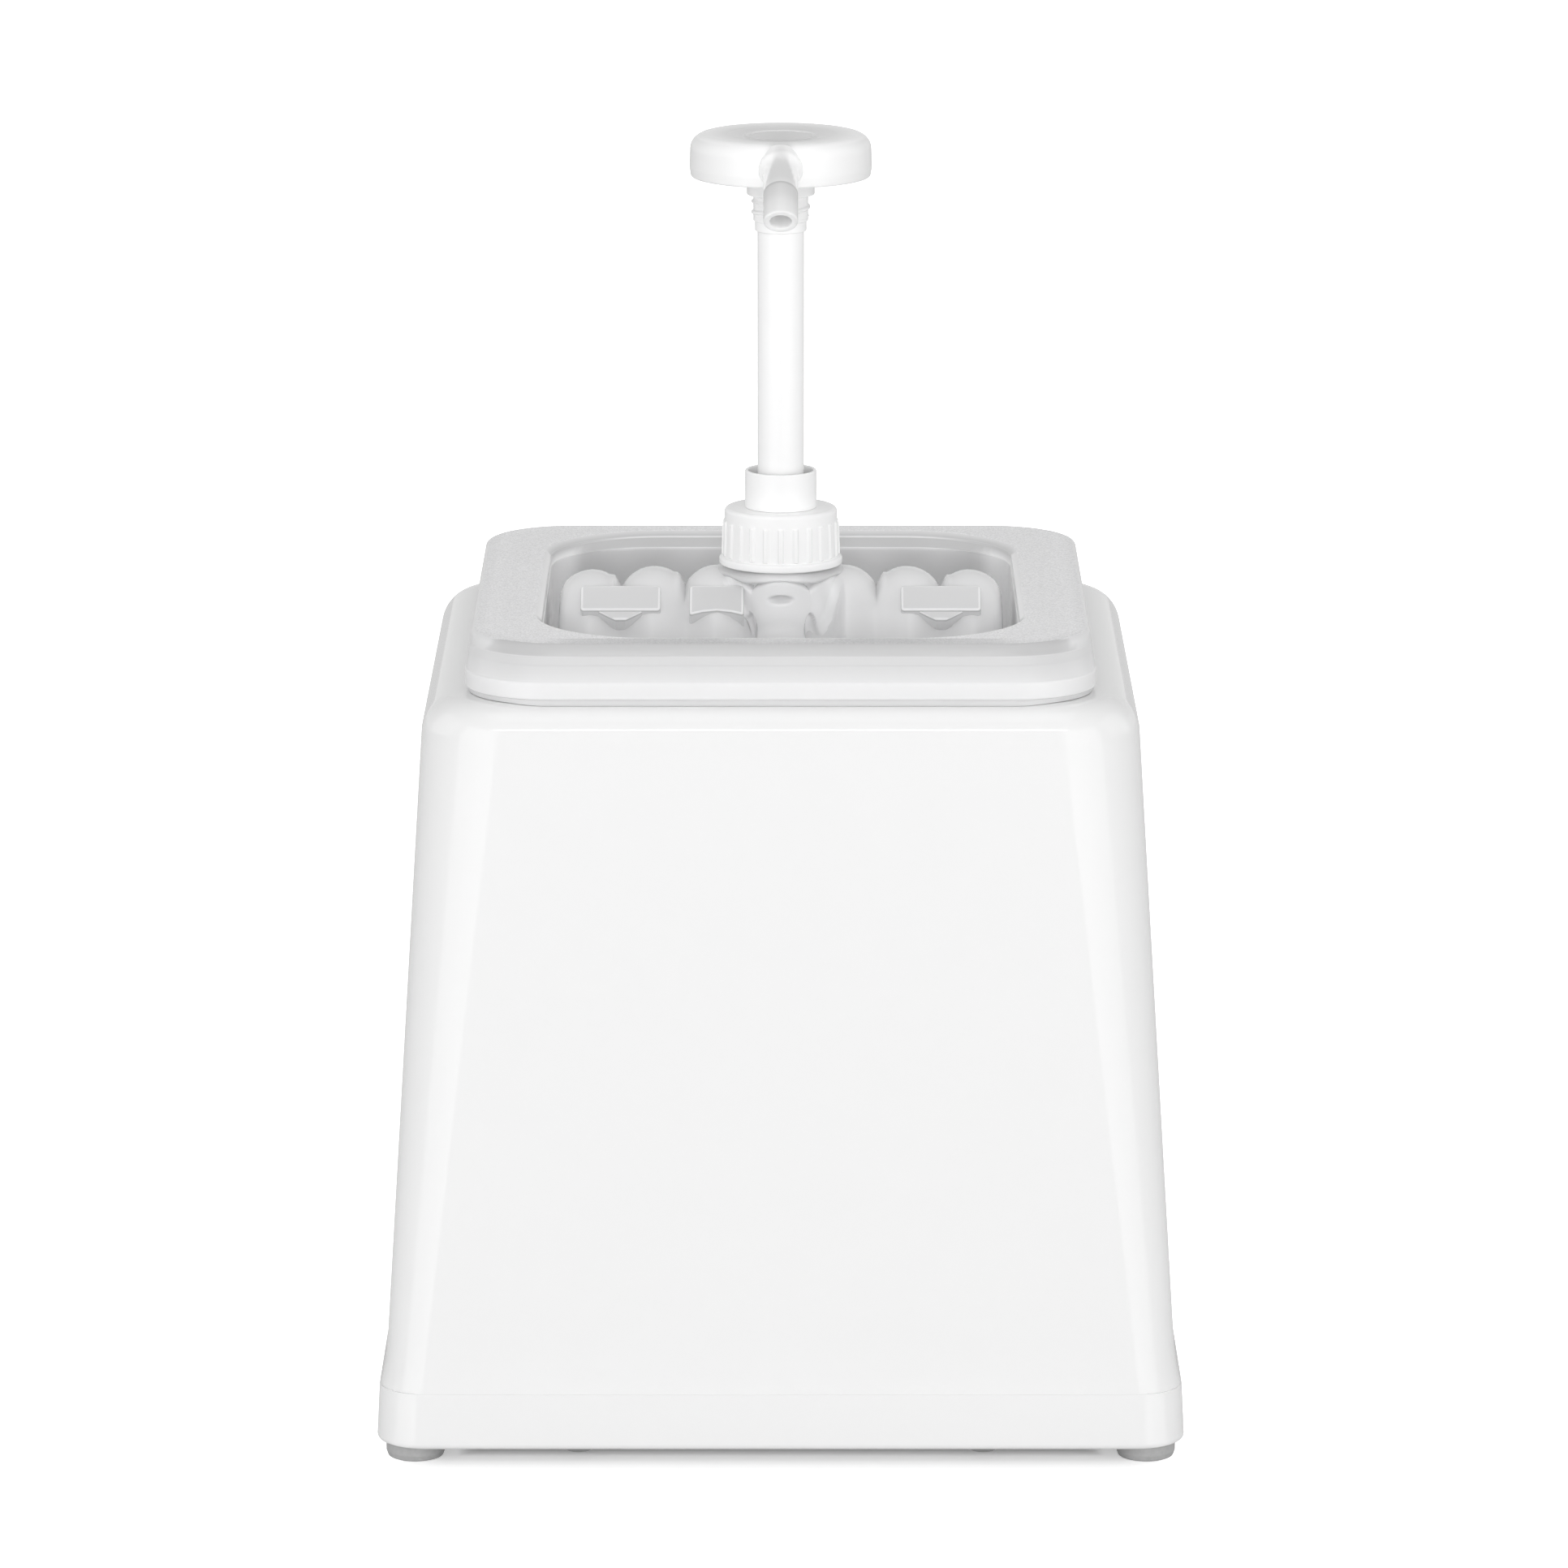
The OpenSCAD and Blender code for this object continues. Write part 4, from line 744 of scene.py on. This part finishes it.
def headSpout(s):
    # circles carried along two straight runs that meet in a mitre, then back up inside the bore
    a, b, c = (np.array(p) for p in s["bends"])
    first, second = (b - a) / np.linalg.norm(b - a), (c - b) / np.linalg.norm(c - b)
    length = np.linalg.norm(c - b)
    spout, bore, low = s["spout"], s["bore"], s["lowerLimit"]

    def across(direction):
        return np.array([-direction[1], direction[0]])

    along, tip = across(first), across(second)
    turn = np.arccos(np.dot(first, second))
    mitre = across((first + second) / np.linalg.norm(first + second)) / np.cos(turn / 2)
    # rows of place, direction across, radius, painted shade tone of the upper side and the limit of that side
    rows = []
    for way in (0.0, 3.4, 4.2, 4.8, 5.4, 6.0, 6.8, 7.8, 9.2, 11.5, 14.0, 16.3):
        radius = spout + s["fairing"] * np.exp(-(max(way - s["fairingFrom"], 0) / 1.5) ** 1.3)
        rows.append((a + first * way, along, radius, s["upperShade"], np.interp(way, *s["limits"])))
    # painted shade: a dark line at the mitre, the second run's upper side darker near the mitre and lighter towards the
    # tip, the lip a little darker
    rows += [(b - first * 0.8, mitre, spout, 0.82, 0.4), (b - first * 0.25, mitre, spout, 0.54, low),
             (b + second * 0.1, mitre, spout, 0.54, low), (b + second * 0.6, mitre, spout, 0.62, low)]
    for way, tone in ((2.5, 0.67), (5.0, 0.75), (length - 1.6, 0.79), (length - 0.9, 0.80), (length - 0.5, 0.84)):
        rows.append((b + second * way, tip, spout, tone, low))
    for angle in np.radians((30, 60, 90)):
        back, inset = s["lipRound"] * (1 - np.sin(angle)), s["lipRound"] * (1 - np.cos(angle))
        rows.append((c - second * back, tip, spout - inset, s["lipShade"], low))
    for angle in np.radians((0, 45, 90)):
        back, outset = s["boreRound"] * (1 - np.cos(angle)), s["boreRound"] * (1 - np.sin(angle))
        rows.append((c - second * back, tip, bore + outset, 1.0, 0))
    rows += [(c - second * way, tip, bore, 1.0, 0) for way in (0.8, 3.0, 6.0)]
    rows += [(b, mitre, bore, 1.0, 0), (b - first * 6, along, bore, 1.0, 0), (b - first * 12, along, bore, 1.0, 0)]
    around = turnSteps(72)
    place, side, radius, paintedShade, limit = (np.array([row[n] for row in rows]) for n in range(5))
    x = radius[:, None] * np.cos(around)
    yz = place[:, None] + side[:, None] * (radius[:, None] * np.sin(around))[..., None]
    upper = unit((-np.sin(around) - limit[:, None]) / 0.10)
    tone = 1 - (1 - paintedShade[:, None]) * upper
    return [(skin(capped(np.concatenate([x[..., None], yz], -1)), (0, -30, 338)),
             np.concatenate([tone[:1], tone, tone[-1:]]))]


def buildHead(s):
    skins, tones = zip(*headDisc(s), *headPlug(s), *headSpout(s))
    makePiece("pumpHead", skins, "pump_head", looks["headWhite"], 40, tones)


buildHead(head)

stem = {"radius": 6.45, "bore": 3.25, "chamber": 4.85, "chamberTop": 244.92}


def buildStem(s):
    # hollow stem with a wide chamber at its foot: a closed profile round the axis with rounded ends
    low, high = span("stem_tube")
    bottom, top = low[2], high[2]
    keys = [[s["chamber"], bottom, 0.2], [s["radius"], bottom, 0.4], [s["radius"], top, 0.4], [s["bore"], top, 0.3],
            [s["bore"], s["chamberTop"], 0.2], [s["chamber"], s["chamberTop"], 0.2]]
    makePiece("stemTube", [skin(lathe(filletKeys(keys, 4), 96), closeRows=True)], "stem_tube", looks["pump_white"])


buildStem(stem)

spring = {"foot": 125.4, "top": 212.4, "coil": 7.0, "wire": 0.7, "turns": 11, "endPitch": 2.0, "shortest": 22.0}


def buildSpring(s):
    # a circle carried along a helix with close turns at both ends and even turns between
    t = np.linspace(0, s["turns"], s["turns"] * 40 + 1)[:, None]
    around = turnSteps(10)
    rise = s["top"] - s["foot"] - 2 * s["wire"]
    height = np.interp(t, (0, 1, s["turns"] - 1, s["turns"]), (0, s["endPitch"], rise - s["endPitch"], rise))
    out, up = s["coil"] + s["wire"] * np.cos(around), s["wire"] * (1 + np.sin(around))
    coil = np.stack([out * np.cos(2 * np.pi * t), out * np.sin(2 * np.pi * t), s["foot"] + height + up], -1)
    piece = makePiece("returnSpring", [skin(capped(coil))], "return_spring", looks["spring_steel"], 60)
    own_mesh(piece)


buildSpring(spring)
print("pieces made")

# sector: bounds of the side softboxes' directions, as sideways over forwards; shine: what reflections see of the floor
studio = {"floorColor": (0.8, 0.8, 0.8, 1), "floorRough": 0.9, "shadowRun": (0.090, 0.120), "shadowWide": 1.15,
          "shadow": ((0.0, 0.03), (0.14, 0.05), (0.28, 0.19), (0.38, 0.37), (0.60, 0.38), (0.93, 0.45), (1.0, 1.0)),
          "sector": (0.2915, 2.39), "sectorTop": 0.64, "sectorFrom": 0.1, "shineBehind": 0.64, "shineBoxes": 1.06,
          "shineFront": 0.46, "world": (0.38, 0.62), "glow": 0.42, "glowFall": -1.2, "glowFrom": 0.3}


def buildFloor(s):
    mesh = bpy.data.meshes.new("floor")
    mesh.from_pydata([(-6, -6, 0), (6, -6, 0), (6, 12, 0), (-6, 12, 0)], [], [(0, 1, 2, 3)])
    floor = bpy.data.objects.new("floor", mesh)
    bpy.context.collection.objects.link(floor)
    look = bpy.data.materials.new("floor")
    look.use_nodes = True
    mesh.materials.append(look)
    tree = look.node_tree
    link = tree.links.new
    shader = tree.nodes["Principled BSDF"]
    shader.inputs["Base Color"].default_value = s["floorColor"]
    shader.inputs["Roughness"].default_value = s["floorRough"]
    shader.inputs["Emission Color"].default_value = (1, 1, 1, 1)
    path = addNode(tree, "LightPath")
    x, y, z = parted(tree, "Object")
    x = calc(tree, "ABSOLUTE", x)
    # seen directly: white, with a soft shadow under the housing
    reach = calc(tree, "MAXIMUM", calc(tree, "MULTIPLY", x, s["shadowWide"]), calc(tree, "ABSOLUTE", y))
    share = addNode(tree, "MapRange", {"From Min": s["shadowRun"][0], "From Max": s["shadowRun"][1]})
    link(reach, share.inputs["Value"])
    shadow = addNode(tree, "ValToRGB")
    stops = shadow.color_ramp.elements
    for spot, light in s["shadow"][1:-1]:
        stops.new(spot)
    for stop, (spot, light) in zip(stops, s["shadow"]):
        stop.position = spot
        stop.color = (light, light, light, 1)
    link(share.outputs["Result"], shadow.inputs["Fac"])
    seen = calc(tree, "MULTIPLY", path.outputs["Is Camera Ray"], shadow.outputs["Color"])
    link(seen, shader.inputs["Emission Strength"])
    # seen in reflections: even in front, bright in the two sectors below the side softboxes, lighter beside and behind
    ahead = calc(tree, "SUBTRACT", calc(tree, "MULTIPLY", y, -1), s["sectorFrom"])
    ratio = calc(tree, "DIVIDE", calc(tree, "SUBTRACT", x, s["sectorFrom"]), ahead)
    inner, outer = (calc(tree, "LESS_THAN", ratio, bound) for bound in s["sector"])
    before = calc(tree, "MULTIPLY", calc(tree, "LESS_THAN", y, -s["sectorFrom"]), outer)
    middle = calc(tree, "MULTIPLY", before, inner)
    shine = calc(tree, "MULTIPLY_ADD", before, s["shineBoxes"] - s["shineBehind"], s["shineBehind"])
    shine = calc(tree, "MULTIPLY_ADD", middle, s["shineFront"] - s["shineBoxes"], shine)
    mirrored = addNode(tree, "Emission")
    link(shine, mirrored.inputs["Strength"])
    either = addNode(tree, "MixShader")
    link(path.outputs["Is Glossy Ray"], either.inputs[0])
    link(shader.outputs["BSDF"], either.inputs[1])
    link(mirrored.outputs["Emission"], either.inputs[2])
    link(either.outputs["Shader"], tree.nodes["Material Output"].inputs["Surface"])


def buildWorld(s):
    # white to the camera and, in reflections, where the side softboxes stand; a faint glow low down behind
    world = bpy.data.worlds.new("studio")
    bpy.context.scene.world = world
    world.use_nodes = True
    tree = world.node_tree
    link = tree.links.new
    ambient = tree.nodes["Background"]
    ambient.inputs["Color"].default_value = (1, 1, 1, 1)
    path = addNode(tree, "LightPath")
    x, y, z = parted(tree, "Generated")
    front, back = s["world"]
    fade = addNode(tree, "MapRange", {"From Min": -1, "From Max": 1, "To Min": front, "To Max": back})
    link(y, fade.inputs["Value"])
    near, far = s["sector"]
    ratio = calc(tree, "DIVIDE", calc(tree, "ABSOLUTE", x), calc(tree, "MULTIPLY", y, -1))
    boxes = calc(tree, "MULTIPLY", calc(tree, "GREATER_THAN", ratio, near), calc(tree, "LESS_THAN", ratio, far))
    boxes = calc(tree, "MULTIPLY", boxes, calc(tree, "LESS_THAN", z, s["sectorTop"]))
    low = calc(tree, "MULTIPLY_ADD", calc(tree, "ABSOLUTE", z), s["glowFall"], s["glow"])
    low = calc(tree, "MULTIPLY", calc(tree, "GREATER_THAN", y, s["glowFrom"]), calc(tree, "MAXIMUM", low, 0))
    boxes = calc(tree, "MULTIPLY", calc(tree, "MAXIMUM", boxes, low), path.outputs["Is Glossy Ray"])
    level = addNode(tree, "Mix", {"B": 1.0})
    link(calc(tree, "MAXIMUM", path.outputs["Is Camera Ray"], boxes), level.inputs["Factor"])
    link(fade.outputs["Result"], level.inputs["A"])
    link(level.outputs["Result"], ambient.inputs["Strength"])


buildFloor(studio)
buildWorld(studio)

# azimuth, elevation, distance, size, radiance and whether reflections show it
lamps = {"boxLeft": (-42, 12, 1.7, (1.45, 1.9), 1.05, False), "boxRight": (42, 12, 1.7, (1.45, 1.9), 1.05, False),
         "boxTop": (0, 86, 1.6, (1.2, 1.0), 0.5, True), "boxFront": (0, 8, 2.8, (0.35, 0.3), 47.0, False),
         "stripFront": (0, 42, 1.7, (1.2, 0.09), 4.6, True), "fillLeft": (-100, 22, 1.9, (1.4, 1.4), 0.35, True),
         "fillRight": (100, 22, 1.9, (1.4, 1.4), 0.35, True)}


def softbox(name, azimuth, elevation, distance, size, radiance, mirrored):
    # rectangle of even light that faces the object; its power is radiance times area times pi
    target = Vector((0, 0, 0.2))
    az, el = np.radians(azimuth), np.radians(elevation)
    place = target + distance * Vector((np.sin(az) * np.cos(el), -np.cos(az) * np.cos(el), np.sin(el)))
    data = bpy.data.lights.new(name, "AREA")
    data.shape = "RECTANGLE"
    data.size, data.size_y = size
    data.energy = radiance * size[0] * size[1] * np.pi
    lamp = bpy.data.objects.new(name, data)
    lamp.location = place
    lamp.rotation_euler = (target - place).to_track_quat("-Z", "Y").to_euler()
    lamp.visible_glossy = mirrored
    bpy.context.collection.objects.link(lamp)


for name, values in lamps.items():
    softbox(name, *values)

view = {"place": (0.0009, -2.3871, 0.6888), "target": (0.0009, 0, 0.1651), "sensor": 36, "lens": 200.7, "far": 50}
cameraData = bpy.data.cameras.new("camera")
cameraData.sensor_width = view["sensor"]
cameraData.lens = view["lens"]
cameraData.clip_end = view["far"]
camera = bpy.data.objects.new("camera", cameraData)
camera.location = view["place"]
camera.rotation_euler = (Vector(view["target"]) - camera.location).to_track_quat("-Z", "Y").to_euler()
bpy.context.collection.objects.link(camera)
bpy.context.scene.camera = camera
bpy.context.scene.view_settings.view_transform = "Standard"
print("stage made")
